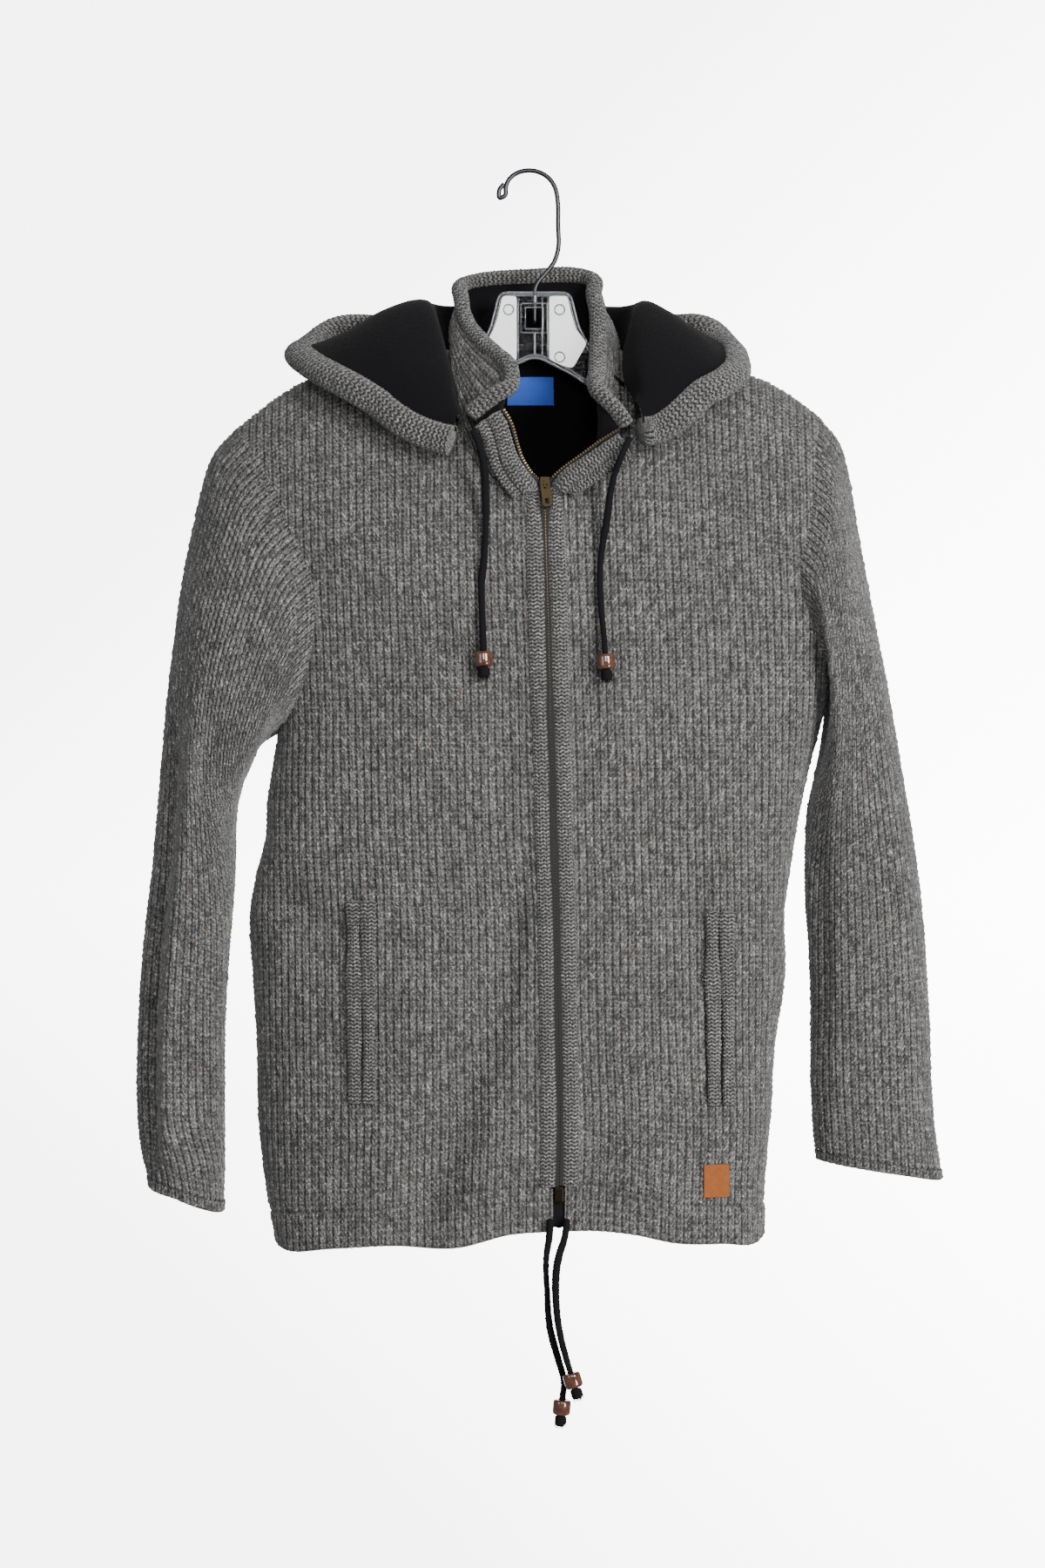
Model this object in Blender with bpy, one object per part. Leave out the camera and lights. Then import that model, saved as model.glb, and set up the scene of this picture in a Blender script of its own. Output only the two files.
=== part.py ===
"""Hooded zip jacket in chunky knit with a fleece lining, hanging on a clear hanger.

The frame has its origin where the hook rests on a rail, +Z up, the front of the
jacket facing -Y. All sizes below are millimetres and are turned into metres when
a mesh is made.
"""
import math

import bmesh
import bpy
import numpy as np

MM = 0.001

# cloth
KNIT_WALL = 3.6
FLEECE = 1.3
SEAM_GAP = 0.3
# both sides of a seam split its end faces on the diagonal that this direction picks
RIM_WEIGHT = (0.31, 0.77, 1.13)
PIECE_GAP = 0.35

# torso: the widest chest row, where the shoulders start to close
CHEST_Z = -340.0
CHEST_RISE = 180.0
SIDE_POWER = 2.5
PANEL_ASPECT = 3.6
HEM_ROWS = 2
SIDE_ROWS = 12
ARM_ROWS = 11
NECK_ROWS = 9
# the last row but one lies just under the shoulder's ridge
NEAR_TOP = 0.989
PANEL_COLUMNS = 10
BACK_NECK_COLUMNS = 6
BAND_WIDTH = 14.2
BAND_THICK = 8.4
ZIP_HALF = 3.3

# height: left and right silhouette, front and back depth on each side
TORSO_ROWS = [
    # z, left, right, front, back, zip
    (-838, -196, 184, 60, 56, 23),
    (-790, -205, 184, 61, 57, 23),
    (-735, -211, 189, 61, 58, 24),
    (-681, -212, 192, 60, 57, 23),
    (-627, -215, 200, 60, 56, 22),
    (-572, -217, 200, 60, 55, 21),
    (-545, -212, 204, 60, 55, 20),
    (-518, -205, 208, 60, 55, 19),
    (-491, -204, 213, 60, 56, 18.5),
    (-464, -200, 219, 61, 57, 18),
    (-438, -196, 226, 62, 58, 17),
    (-400, -199, 236, 62, 60, 16),
    (-340, -208, 246, 62, 62, 14.5),
    (-290, -220, 250, 62, 62, 13),
    (-240, -236, 254, 62, 62, 12),
    (-190, -250, 258, 61, 62, 11),
    (-150, -256, 260, 58, 62, 10),
]
TORSO = dict(zip(("z", "left", "right", "front", "back", "zip"), zip(*TORSO_ROWS)))
# top of the shoulders over the hanger: distance from the neck's middle, height
RIDGE_MIDDLE = 5.0
RIDGE = {
    "reach": (0, 55, 100, 150, 180, 200, 220, 238, 262),
    "z": (-133, -137, -143, -153, -162.5, -174, -189, -204, -226),
}
# hem line and the stitched line above it, from the zip (0) to the side (1)
HEM = {
    "across": (0.0, 0.15, 0.32, 0.5, 0.72, 0.9, 1.0),
    "left": (-817, -820, -830, -829, -833, -837, -832),
    "right": (-817, -817, -820, -827, -829, -830, -820),
    "left line": (-784, -787, -792, -802, -807, -810, -811),
    "right line": (-783, -784, -790, -799, -802, -804, -804),
}
HEM_PROUD = 0.8
BACK_HEM = -826.0
BACK_HEM_LINE = -798.0

# armhole seam from underarm to shoulder tip
ARMHOLE = {
    "left": {
        "x": (-196, -177, -168, -165, -166, -174, -187, -199, -215, -230),
        "z": (-438, -410, -378, -352, -327, -303, -275, -247, -220, -200),
    },
    "right": {
        "x": (235, 227, 219, 210, 208, 213, 219, 221, 223, 229),
        "z": (-393, -375, -353, -330, -313, -291, -262, -235, -210, -195),
    },
}
BACK_SCOOP = 0.55
NECK = {
    "half width": 65.0,
    "left top z": -258.0,
    "right top z": -259.0,
    "power": 2.1,
    "back drop": 16.0,
}

# folds of the body: start and end (x, z), half width, depth, positive out of the cloth
FOLDS = [
    ("front", (-2, -560), (-36, -690), 17, -7.0),
    ("front", (-30, -660), (-84, -826), 20, -8.0),
    ("front", (26, -560), (-44, -800), 18, 3.5),
    ("front", (-70, -600), (-128, -830), 26, 4.0),
    ("front", (-212, -548), (-150, -592), 15, -6.0),
    ("front", (-214, -500), (-150, -545), 18, 4.0),
    ("front", (-196, -452), (-92, -382), 16, -4.0),
    ("front", (-178, -402), (-84, -318), 18, 3.0),
    ("front", (112, -470), (124, -640), 20, -5.0),
    ("front", (150, -420), (168, -640), 20, 4.0),
    ("front", (228, -392), (128, -300), 16, -4.0),
    ("front", (70, -600), (92, -822), 22, 3.0),
    ("back", (-150, -300), (-70, -420), 24, -5.0),
    ("back", (160, -300), (70, -430), 24, -5.0),
    ("back", (-60, -520), (-90, -820), 24, -7.0),
    ("back", (40, -500), (60, -820), 26, 5.0),
    ("back", (120, -480), (150, -815), 22, -6.0),
]

# sleeve rings from the armhole to the cuff: outer and inner edge, middle y, half depth
SLEEVE = {
    "left": [
        (-230, -200, -196, -438, 0, 40),
        (-247, -220, -207, -445, -1, 47),
        (-256, -248, -214, -455, -2, 49),
        (-264, -284, -219, -468, -3, 48),
        (-271, -322, -224, -480, -4, 45),
        (-276, -362, -227, -496, -5, 40),
        (-281, -404, -228, -514, -6, 38),
        (-285, -448, -228, -535, -7, 36),
        (-289, -496, -229, -560, -8, 35),
        (-293, -540, -231, -586, -9, 34),
        (-298, -584, -233, -614, -10, 33),
        (-302, -628, -235, -646, -11, 32),
        (-304, -670, -236, -680, -12, 31),
        (-305, -706, -236, -712, -12, 30),
        (-304, -738, -236, -744, -12, 29),
        (-301, -762, -236, -774, -12, 28),
        (-296, -780, -237, -800, -12, 27),
    ],
    "right": [
        (229, -195, 235, -393, 0, 38),
        (243, -213, 243, -401, 0, 46),
        (251, -243, 242, -417, 0, 48),
        (257, -280, 238, -436, -1, 48),
        (264, -318, 231, -456, -2, 45),
        (271, -356, 223, -477, -3, 42),
        (279, -398, 217, -500, -4, 38),
        (287, -444, 215.5, -525, -5, 36),
        (295, -492, 215, -552, -6, 35),
        (302, -538, 216, -580, -7, 34),
        (307, -584, 218, -610, -8, 33),
        (310, -628, 219, -644, -9, 32),
        (312, -668, 219, -676, -10, 31),
        (313, -704, 219, -706, -10, 31),
        (315, -736, 220, -728, -10, 30),
        (318, -760, 221, -748, -10, 29),
        (320, -775, 223, -760, -10, 28),
    ],
}
SLEEVE_POWER = 2.2
# folds of the sleeves: side, first and last ring, angle at both (0 outer, 90 front, 180 inner),
# half width, depth
SLEEVE_FOLDS = [
    ("left", 4, 14, 62, 40, 16, 3.5),
    ("left", 5, 13, 26, 16, 14, -5.0),
    ("left", 1, 6, 118, 92, 20, -3.0),
    ("left", 9, 15, 130, 104, 22, -2.5),
    ("right", 5, 15, 52, 66, 22, 3.0),
    ("right", 4, 12, 136, 150, 18, -5.0),
    ("right", 2, 7, 100, 76, 20, -3.0),
    ("left", 4, 14, 250, 290, 22, -4.0),
    ("right", 4, 14, 285, 250, 22, -4.0),
]
CUFF_DEEP = 8.0
CUFF_PROUD = 1.0

# top edge of the collar from the left front end round the neck to the right one
COLLAR_ROWS_AT = [
    # share of the way, x, y, z
    (0.0, -40, -64, -202),
    (0.06, -29, -62, -192),
    (0.12, -21, -57, -179),
    (0.17, -22, -47, -160),
    (0.22, -34, -34, -148),
    (0.27, -49, -16, -131),
    (0.33, -58, 4, -111),
    (0.38, -55.5, 22, -96),
    (0.43, -43, 34, -87),
    (0.5, 2, 42, -82),
    (0.57, 44, 35, -83),
    (0.62, 55, 23, -94),
    (0.67, 60.7, 6, -110),
    (0.73, 61.5, -14, -134),
    (0.79, 59, -36, -163),
    (0.85, 56, -50, -179),
    (0.9, 58, -58, -190),
    (0.95, 63, -62, -199),
    (1.0, 68, -64, -208),
]
COLLAR = dict(zip(("along", "x", "y", "z"), zip(*COLLAR_ROWS_AT)))
COLLAR_ROWS = 3
COLLAR_LIFT = 0.5
COLLAR_ROLL = 6.4
ROLL_GAP = 1.8
COLLAR_BULGE = 3.0

# hood lying open round the collar: stations from the left front end over the back
# to the right front end; collar side, crest, fold of the bag and rim
HOOD = [
    # seam                crest               valley              belly               rim
    ((-54, -60, -199), (-55, -66, -197), (-56, -69, -200), (-56, -70, -203), (-55, -70.5, -206)),
    ((-57, -51, -186), (-61, -61, -181), (-66, -65.5, -186), (-70, -67.5, -193), (-74, -67, -200)),
    ((-58, -44, -176), (-63, -52, -164), (-72, -60, -169), (-82, -65, -180), (-92, -65, -191)),
    ((-64, -28, -156), (-70, -32, -138), (-85, -43, -146), (-100, -53, -160), (-114, -56, -174)),
    ((-70, -8, -134), (-77, -8, -111), (-99, -18, -117), (-123, -32, -137), (-143, -42, -158)),
    ((-73, 14, -133), (-80, 16, -101), (-110, 12, -107), (-142, 2, -127), (-168, -2, -139)),
    ((-67, 28, -136), (-76, 44, -99), (-104, 46, -118), (-137, 50, -134), (-148, 48, -127)),
    ((-50, 40, -138), (-56, 60, -99), (-76, 72, -152), (-112, 88, -152), (-107, 79, -121)),
    ((-25, 38, -142), (-27, 66, -98), (-42, 76, -190), (-64, 104, -190), (-54, 97, -118)),
    ((4, 36.5, -144), (4, 68, -98), (4, 75, -212), (4, 112, -216), (4, 102, -116)),
    ((34, 38, -142), (35, 66, -98), (50, 76, -190), (72, 104, -190), (62, 96, -118)),
    ((59, 40, -138), (64, 60, -99), (84, 72, -150), (114, 88, -150), (105, 78, -120)),
    ((76, 28, -136), (82, 44, -100), (102, 44, -116), (126, 46, -132), (136, 42, -127)),
    ((81, 14, -133), (88, 16, -102), (106, 10, -108), (130, 2, -125), (150, 0, -137)),
    ((78, -8, -134), (86, -8, -112), (104, -18, -119), (128, -30, -138), (148, -36, -157)),
    ((75, -28, -155), (84, -34, -137), (97, -44, -144), (113, -51, -156), (128, -54, -169)),
    ((78, -44, -173), (85, -54, -162), (93, -59, -167), (102, -64, -176), (110, -64, -185)),
    ((84, -52, -184), (88, -62, -178), (92, -66, -183), (95, -68, -189), (97, -67, -195)),
    ((82, -60, -190), (83, -66, -189), (84, -69, -192), (85, -70, -196), (85, -70.5, -199)),
]
# stretches between stations, closer together where the rim turns: from, to, how many
HOOD_PLACES = [(0, 5, 7), (5, 8, 7), (8, 10, 3), (10, 13, 7), (13, 18, 7)]
# places along a section, closer together round the bottom of the bag
HOOD_STEPS = (0, 0.55, 0.88, 1.12, 1.5, 2, 2.3, 2.7, 3, 3.5, 4)
HOOD_ROLL = 8.6
HOOD_WALL = 2.2
HOOD_FLEECE = 1.0

CORD_DIAMETER = 5.0
# free ends of the hood and hem cords: route, bead and knot
CORDS = {
    "hood_cord_left": (
        (-42.5, -76, -210), (-38, -79.5, -220), (-34.5, -76, -233),
        (-33, -68, -258), (-33, -63.5, -289), (-34, -63, -306),
        (-36, -63.3, -324), (-35.5, -65, -344), (-34.5, -67.4, -376),
    ),
    "hood_cord_right": (
        (76, -82.5, -216), (71, -84, -227), (65, -77, -242),
        (59, -67, -278), (55, -63, -304), (54, -63, -325),
        (55, -64, -344), (57, -66.4, -364), (58, -67.2, -378),
    ),
    "hem_cord_left": (
        (16.5, -63.9, -808), (16, -64.4, -818), (13.6, -65.5, -832), (13, -65.5, -844),
        (14, -65, -863), (16, -65, -890), (20, -65, -906), (24.5, -65, -922),
        (27, -65, -934), (25.5, -65, -944),
    ),
    "hem_cord_right": (
        (29, -64.1, -808), (28, -65.8, -818), (23.5, -71, -832), (21, -72.5, -844),
        (20.5, -72.5, -867), (23, -73, -890), (27, -74, -907), (31.5, -75, -922),
    ),
}
# a bead's radius along its length, as shares of its full radius
BEAD = {"diameter": 13.6, "length": 11.6, "round": ((0, 0.55), (0.4, 0.86), (2.2, 1.0))}
KNOT = {"radius": 5.2, "round": ((0, 0.5), (1.4, 0.95), (4.0, 1.0), (6.8, 0.85), (9.0, 0.4))}

# pocket welts: side, left edge and right edge x at the top and at the bottom, top z, bottom z
POCKETS = {
    "left": (-134.5, -133.0, -567.0, -720.0),
    "right": (139.5, 140.5, -575.0, -722.0),
}
WELT = {"width": 10.6, "thick": 3.2, "apart": 0.7, "gap": 0.8, "steps": 8}

PATCH = {"x": (133.5, 153), "z": (-793, -768), "thick": 1.3, "gap": 0.35}
LABEL = {"x": (-17, 20), "top z": -156, "bottom z": -175, "thick": 0.6, "gap": 0.6}

HANGER = {
    "thick": 5.0,
    "neck dip": 7.0,
    "plate top z": -96.6, "plate top": (-23.8, 33.3),
    "plate waist z": -121.0, "plate waist": (-30.6, 40.3),
    "arch": ((-24.0, -156.0), (-9.5, -150.5), (4.8, -143.5), (19.0, -150.5), (31.0, -156.5)),
    "arm start": (-46.0, 56.0),
    "arm tip": (-206.0, 206.0),
    "arm deep": (24.0, 15.0),
    "window": (-3.1, 11.9, -122.4, -104.7),
}
ARM_POINTS = 9
HOOK = {
    "wire": 3.7,
    # the rest, round to the eyelet on one side and down to the stem on the other
    "route": (
        (-19.2, -8.5), (-22.2, -12.0), (-23.6, -17.5), (-21.2, -20.6), (-18.6, -18.0),
        (-18.0, -12.0), (-15.6, -5.4), (-9.6, -0.4), (-1.0, 1.9), (8.5, 0.4),
        (16.2, -4.6), (20.8, -12.0), (22.6, -21.5), (23.0, -40.0), (22.5, -62.0),
        (19.0, -71.0), (12.5, -79.0), (6.6, -86.5), (4.8, -92.0), (4.8, -96.0),
    ),
}

BAND_PROUD = 2.6
ZIP_STEPS = 20
# the way the open zip faces
V_FACING = (0.0, -0.95, 0.3)
STRIP_WIDTH = 2.6
STRIP_THICK = 1.7
STRIP_APART = 0.25
STRIP_SUNK = 0.6
# the closed zip ends this far under the first point of the open one
ZIP_BLEND = 7.0
BAND_LIFT = 1.2
# the strips end this far above the hem line
STRIP_END = 0.6
BOTTOM_BOX = (6.2, 2.4, 11.0)
YOKE_ROWS = 6
BAND_FROM_TEETH = 9.2
# above the slider the zip opens: x, forward of the cloth at the slider, z, top end first
ZIP_V = {
    "left": (
        (-20, 16, -193), (-16, 15.5, -199), (-13, 14.5, -205), (-10, 11, -215),
        (-6, 7, -228), (0, 2.2, -238), (7, -0.5, -246),
    ),
    "right": ((67, 16, -210), (55, 13, -217), (38, 8, -229), (25, 2.5, -238), (17.6, -0.5, -245)),
}
SLIDER_Z = -249.0
TAB_TILT = math.radians(7.0)
# the arch: width, height over the plate, length, length of a post, thickness of the bridge
SLIDER = {"plate": (7.0, 1.5, 11.0), "face": 3.6, "arch": (1.3, 3.2, 6.4, 1.0, 0.9), "pin out": 1.4}
# the eye: width, length, crossbar; the window: width, length, distance from the end
TAB = {
    "width": 7.4,
    "length": 18.5,
    "thick": 1.1,
    "corner": 1.5,
    "eye": (3.6, 4.6, 1.1),
    "window": (3.2, 4.2, 2.0),
}


# ---------------------------------------------------------------- curves and tables

def slopes_of(keys, values):
    step = np.diff(keys)[:, None]
    secant = np.diff(values, axis=0) / step
    inner = (secant[:-1] * step[1:] + secant[1:] * step[:-1]) / (step[1:] + step[:-1])
    return np.vstack([secant[:1], inner, secant[-1:]])


def smooth_at(keys, values, where):
    """A smooth curve through the rows of values, read at each place in where."""
    keys = np.asarray(keys, float)
    values = np.asarray(values, float)
    flat = values.ndim == 1
    if flat:
        values = values[:, None]
    where = np.clip(np.atleast_1d(np.asarray(where, float)), keys[0], keys[-1])
    slope = slopes_of(keys, values)
    i = np.clip(np.searchsorted(keys, where, side="right") - 1, 0, len(keys) - 2)
    span = keys[i + 1] - keys[i]
    t = ((where - keys[i]) / span)[:, None]
    span = span[:, None]
    out = ((2 * t**3 - 3 * t**2 + 1) * values[i] + (t**3 - 2 * t**2 + t) * span * slope[i]
           + (-2 * t**3 + 3 * t**2) * values[i + 1] + (t**3 - t**2) * span * slope[i + 1])
    return out[:, 0] if flat else out


def table(name, z):
    """A column of the torso table at height z."""
    return float(smooth_at(TORSO["z"], TORSO[name], z)[0])


def ridge_z(x):
    return float(smooth_at(RIDGE["reach"], RIDGE["z"], abs(x - RIDGE_MIDDLE))[0])


def side_profile():
    """Unit half section: share of the width and of the depth against the length along the cloth."""
    turn = np.linspace(0, math.pi / 2, 200)
    wide = np.sin(turn) ** (2 / SIDE_POWER)
    deep = np.clip(np.cos(turn), 0, 1) ** (2 / SIDE_POWER)
    length = np.concatenate([[0], np.cumsum(np.hypot(np.diff(wide) * PANEL_ASPECT, np.diff(deep)))])
    return length / length[-1], wide, deep


ALONG, WIDE, DEEP = side_profile()


# ---------------------------------------------------------------- the torso surface

def soft_step(value):
    value = min(max(value, 0.0), 1.0)
    return value * value * (3 - 2 * value)


def fold_depth(face, x, z):
    total = 0.0
    for panel, start, end, half_width, depth in FOLDS:
        if panel != face:
            continue
        dx, dz = end[0] - start[0], end[1] - start[1]
        length = math.hypot(dx, dz)
        along = ((x - start[0]) * dx + (z - start[1]) * dz) / length
        across = ((x - start[0]) * dz - (z - start[1]) * dx) / length
        fade = soft_step((along + 20) / 55) * soft_step((length + 20 - along) / 55)
        total += depth * fade * math.exp(-(across / half_width) ** 2)
    return total


def height_of(rise, x):
    """Height for a rise: 0 at the chest row, 1 at the shoulder's top, negative below the chest."""
    if rise >= 0:
        return CHEST_Z + (ridge_z(x) - CHEST_Z) * math.sin(rise * math.pi / 2)
    return CHEST_Z + rise * CHEST_RISE * math.pi / 2


def rise_of(x, z):
    if z < CHEST_Z:
        return (z - CHEST_Z) / (CHEST_RISE * math.pi / 2)
    return math.asin(min(1.0, (z - CHEST_Z) / (ridge_z(x) - CHEST_Z))) * 2 / math.pi


def nominal_z(rise):
    if rise >= 0:
        return CHEST_Z + CHEST_RISE * math.sin(rise * math.pi / 2)
    return CHEST_Z + rise * CHEST_RISE * math.pi / 2


def torso_point(face, across, rise):
    """Outer surface at a share across (-1 left side, 0 zip, 1 right side) and a rise."""
    level = nominal_z(rise)
    middle = table("zip", level)
    edge = table("left" if across < 0 else "right", level)
    share = abs(across)
    x = middle + (edge - middle) * float(np.interp(share, ALONG, WIDE))
    z = height_of(rise, x)
    close = math.cos(max(rise, 0.0) * math.pi / 2)
    depth = table(face, level) * float(np.interp(share, ALONG, DEEP)) * close
    edge_fade = soft_step((1 - share) / 0.08) * soft_step((1 - rise) / 0.25)
    if face == "front":
        edge_fade *= soft_step((abs(x - middle) - 16) / 14)
    depth += fold_depth(face, x, z) * edge_fade
    if face == "front":
        ease = math.exp(-((abs(x - middle) - 30) / 16) ** 2)
        depth -= 2.0 * ease * soft_step((1 - rise) / 0.4)
    return (x, -depth if face == "front" else depth, z)


def across_of(x, rise):
    level = nominal_z(rise)
    middle = table("zip", level)
    edge = table("left" if x < middle else "right", level)
    share = float(np.interp((x - middle) / (edge - middle), WIDE, ALONG))
    return -share if x < middle else share


def hem_z(side, share, line=False):
    name = side + (" line" if line else "")
    return float(smooth_at(HEM["across"], HEM[name], share)[0])


def armhole_edge(side, scoop):
    """Places (across, rise) up the armhole, underarm first."""
    shape = ARMHOLE[side]
    x = np.array(shape["x"], float)
    z = np.array(shape["z"], float)
    length = np.concatenate([[0], np.cumsum(np.hypot(np.diff(x), np.diff(z)))])
    where = length[-1] * row_shares(ARM_ROWS)
    xs = smooth_at(length, x, where)
    zs = smooth_at(length, z, where)
    straight = xs[0] + (xs[-1] - xs[0]) * (zs - zs[0]) / (zs[-1] - zs[0])
    xs = straight + (xs - straight) * scoop
    return [place_at(px, pz) for px, pz in zip(xs, zs)]


def row_shares(rows):
    return np.append(np.linspace(0, 1, rows), NEAR_TOP)[np.r_[0: rows - 1, rows, rows - 1]]


def place_at(x, z):
    rise = rise_of(x, z)
    return across_of(x, rise), rise


def neck_edge(side):
    """Places (across, rise) from the zip's edge up to the shoulder's neck point."""
    sign = -1 if side == "left" else 1
    low = NECK[side + " top z"]
    start = centre_edge_x(side, low)
    end = RIDGE_MIDDLE + sign * NECK["half width"]
    top = ridge_z(end)
    places = []
    for i, part in enumerate(row_shares(NECK_ROWS)):
        turn = part * math.pi / 2
        x = start + (end - start) * math.sin(turn) ** (2 / NECK["power"])
        z = top - (top - low) * max(math.cos(turn), 0) ** (2 / NECK["power"])
        places.append((across_of(x, 1.0), 1.0) if i == NECK_ROWS else place_at(x, z))
    return places


def centre_edge_x(side, z):
    sign = -1 if side == "left" else 1
    return table("zip", z) + sign * (ZIP_HALF + BAND_WIDTH)


def front_grid(side):
    """Rows from the hem to the shoulder seam, columns from the zip's edge to the side."""
    sign = -1 if side == "left" else 1
    arm = armhole_edge(side, 1.0)
    neck = neck_edge(side)
    centre_rows = SIDE_ROWS + ARM_ROWS - NECK_ROWS
    pit = arm[0]
    rows = []
    first = rise_of(0, hem_z(side, 1.0, True))
    for i in range(SIDE_ROWS + ARM_ROWS + 1):
        if i <= SIDE_ROWS:
            outer = (float(sign), first + (pit[1] - first) * i / SIDE_ROWS)
        else:
            outer = arm[i - SIDE_ROWS]
        if i <= centre_rows:
            bottom = rise_of(0, hem_z(side, 0.0, True))
            rise = bottom + (rise_of(0, NECK[side + " top z"]) - bottom) * i / centre_rows
            inner = (across_of(centre_edge_x(side, nominal_z(rise)), rise), rise)
        else:
            inner = neck[i - centre_rows]
        rows.append((i / (SIDE_ROWS + ARM_ROWS), inner, outer))
    grid = []
    for share, inner, outer in rows:
        line = []
        for j in range(PANEL_COLUMNS + 1):
            f = j / PANEL_COLUMNS
            rise = inner[1] + (outer[1] - inner[1]) * f
            drop = hem_z(side, f, True) - (hem_z(side, 0, True) * (1 - f) + hem_z(side, 1, True) * f)
            rise += drop / (CHEST_RISE * math.pi / 2) * max(0.0, 1 - share * 4)
            line.append(torso_point("front", inner[0] + (outer[0] - inner[0]) * f, rise))
        grid.append(line)
    return np.array(grid)


def front_hem_grid(side, panel):
    """Rows from the hem line up to the panel; one more column reaches in to the zip."""
    sign = -1 if side == "left" else 1
    grid = []
    for i in range(HEM_ROWS + 1):
        share = i / HEM_ROWS
        line = []
        for j in range(-1, PANEL_COLUMNS + 1):
            f = max(j, 0) / PANEL_COLUMNS
            if i == HEM_ROWS and j >= 0:
                line.append(tuple(panel[0, j]))
                continue
            low = hem_z(side, f)
            high = float(panel[0, 0, 2]) if j < 1 else float(panel[0, j, 2])
            z = low + (high - low) * share
            rise = rise_of(0, z)
            edge = centre_edge_x(side, z) if j >= 0 else table("zip", z) + sign * (ZIP_HALF + 1.2)
            start = across_of(edge, rise)
            line.append(torso_point("front", start + (sign - start) * f, rise))
        grid.append(line)
    return np.array(grid)


def back_grid(fronts, hems):
    """Rows as the fronts', columns from the left side to the right side."""
    arm = {side: armhole_edge(side, BACK_SCOOP) for side in ("left", "right")}
    top = []
    for sign, side in ((-1, "left"), (1, "right")):
        tip = arm[side][-1][0]
        neck = across_of(RIDGE_MIDDLE + sign * NECK["half width"], 1.0)
        top.append([tip + (neck - tip) * j / PANEL_COLUMNS for j in range(PANEL_COLUMNS + 1)])
    span = top[1][-1] - top[0][-1]
    neck_span = [top[0][-1] + span * k / BACK_NECK_COLUMNS for k in range(1, BACK_NECK_COLUMNS)]
    top_across = top[0] + neck_span + top[1][::-1]
    columns = len(top_across) - 1
    shares = [(a - top_across[0]) / (top_across[-1] - top_across[0]) for a in top_across]
    grid = []
    total = SIDE_ROWS + ARM_ROWS
    for i in range(-HEM_ROWS, total + 1):
        line = []
        for k in range(columns + 1):
            even = k / columns
            if i < 0:
                low = BACK_HEM + (hem_z("left", 1) - BACK_HEM) * max(0, 1 - even * 6) \
                    + (hem_z("right", 1) - BACK_HEM) * max(0, even * 6 - 5)
                high = line_height(even)
                rise = rise_of(0, low + (high - low) * (i + HEM_ROWS) / HEM_ROWS)
                line.append(torso_point("back", even * 2 - 1, rise))
                continue
            up = i / total
            if i <= SIDE_ROWS:
                left = (-1.0, rise_of(0, hem_z("left", 1, True)))
                right = (1.0, rise_of(0, hem_z("right", 1, True)))
                part = i / SIDE_ROWS
                left = (-1.0, left[1] + (arm["left"][0][1] - left[1]) * part)
                right = (1.0, right[1] + (arm["right"][0][1] - right[1]) * part)
            else:
                left = arm["left"][i - SIDE_ROWS]
                right = arm["right"][i - SIDE_ROWS]
            blend = soft_step((up - 0.45) / 0.5)
            f = even + (shares[k] - even) * blend
            across = left[0] + (right[0] - left[0]) * f
            rise = left[1] + (right[1] - left[1]) * f
            if i == 0:
                rise = rise_of(0, line_height(even))
            inside = k - PANEL_COLUMNS
            if 0 < inside < BACK_NECK_COLUMNS:
                bow = math.sin(inside / BACK_NECK_COLUMNS * math.pi) ** 0.6
                neck_drop = 1 - rise_of(RIDGE_MIDDLE, ridge_z(RIDGE_MIDDLE) - NECK["back drop"])
                rise -= neck_drop * bow * soft_step((up - 0.6) / 0.4)
            line.append(torso_point("back", across, rise))
        grid.append(line)
    grid = np.array(grid)
    for side, column in (("left", 0), ("right", -1)):
        grid[: HEM_ROWS, column] = hems[side][:-1, -1]
        grid[HEM_ROWS: HEM_ROWS + SIDE_ROWS + 1, column] = fronts[side][: SIDE_ROWS + 1, -1]
    grid[-1, : PANEL_COLUMNS + 1] = fronts["left"][-1, ::-1]
    grid[-1, PANEL_COLUMNS + BACK_NECK_COLUMNS:] = fronts["right"][-1]
    return grid


def line_height(even):
    ends = hem_z("left", 1, True) - BACK_HEM_LINE, hem_z("right", 1, True) - BACK_HEM_LINE
    return BACK_HEM_LINE + ends[0] * max(0, 1 - even * 6) + ends[1] * max(0, even * 6 - 5)


# ---------------------------------------------------------------- sleeves, collar, hood

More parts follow.
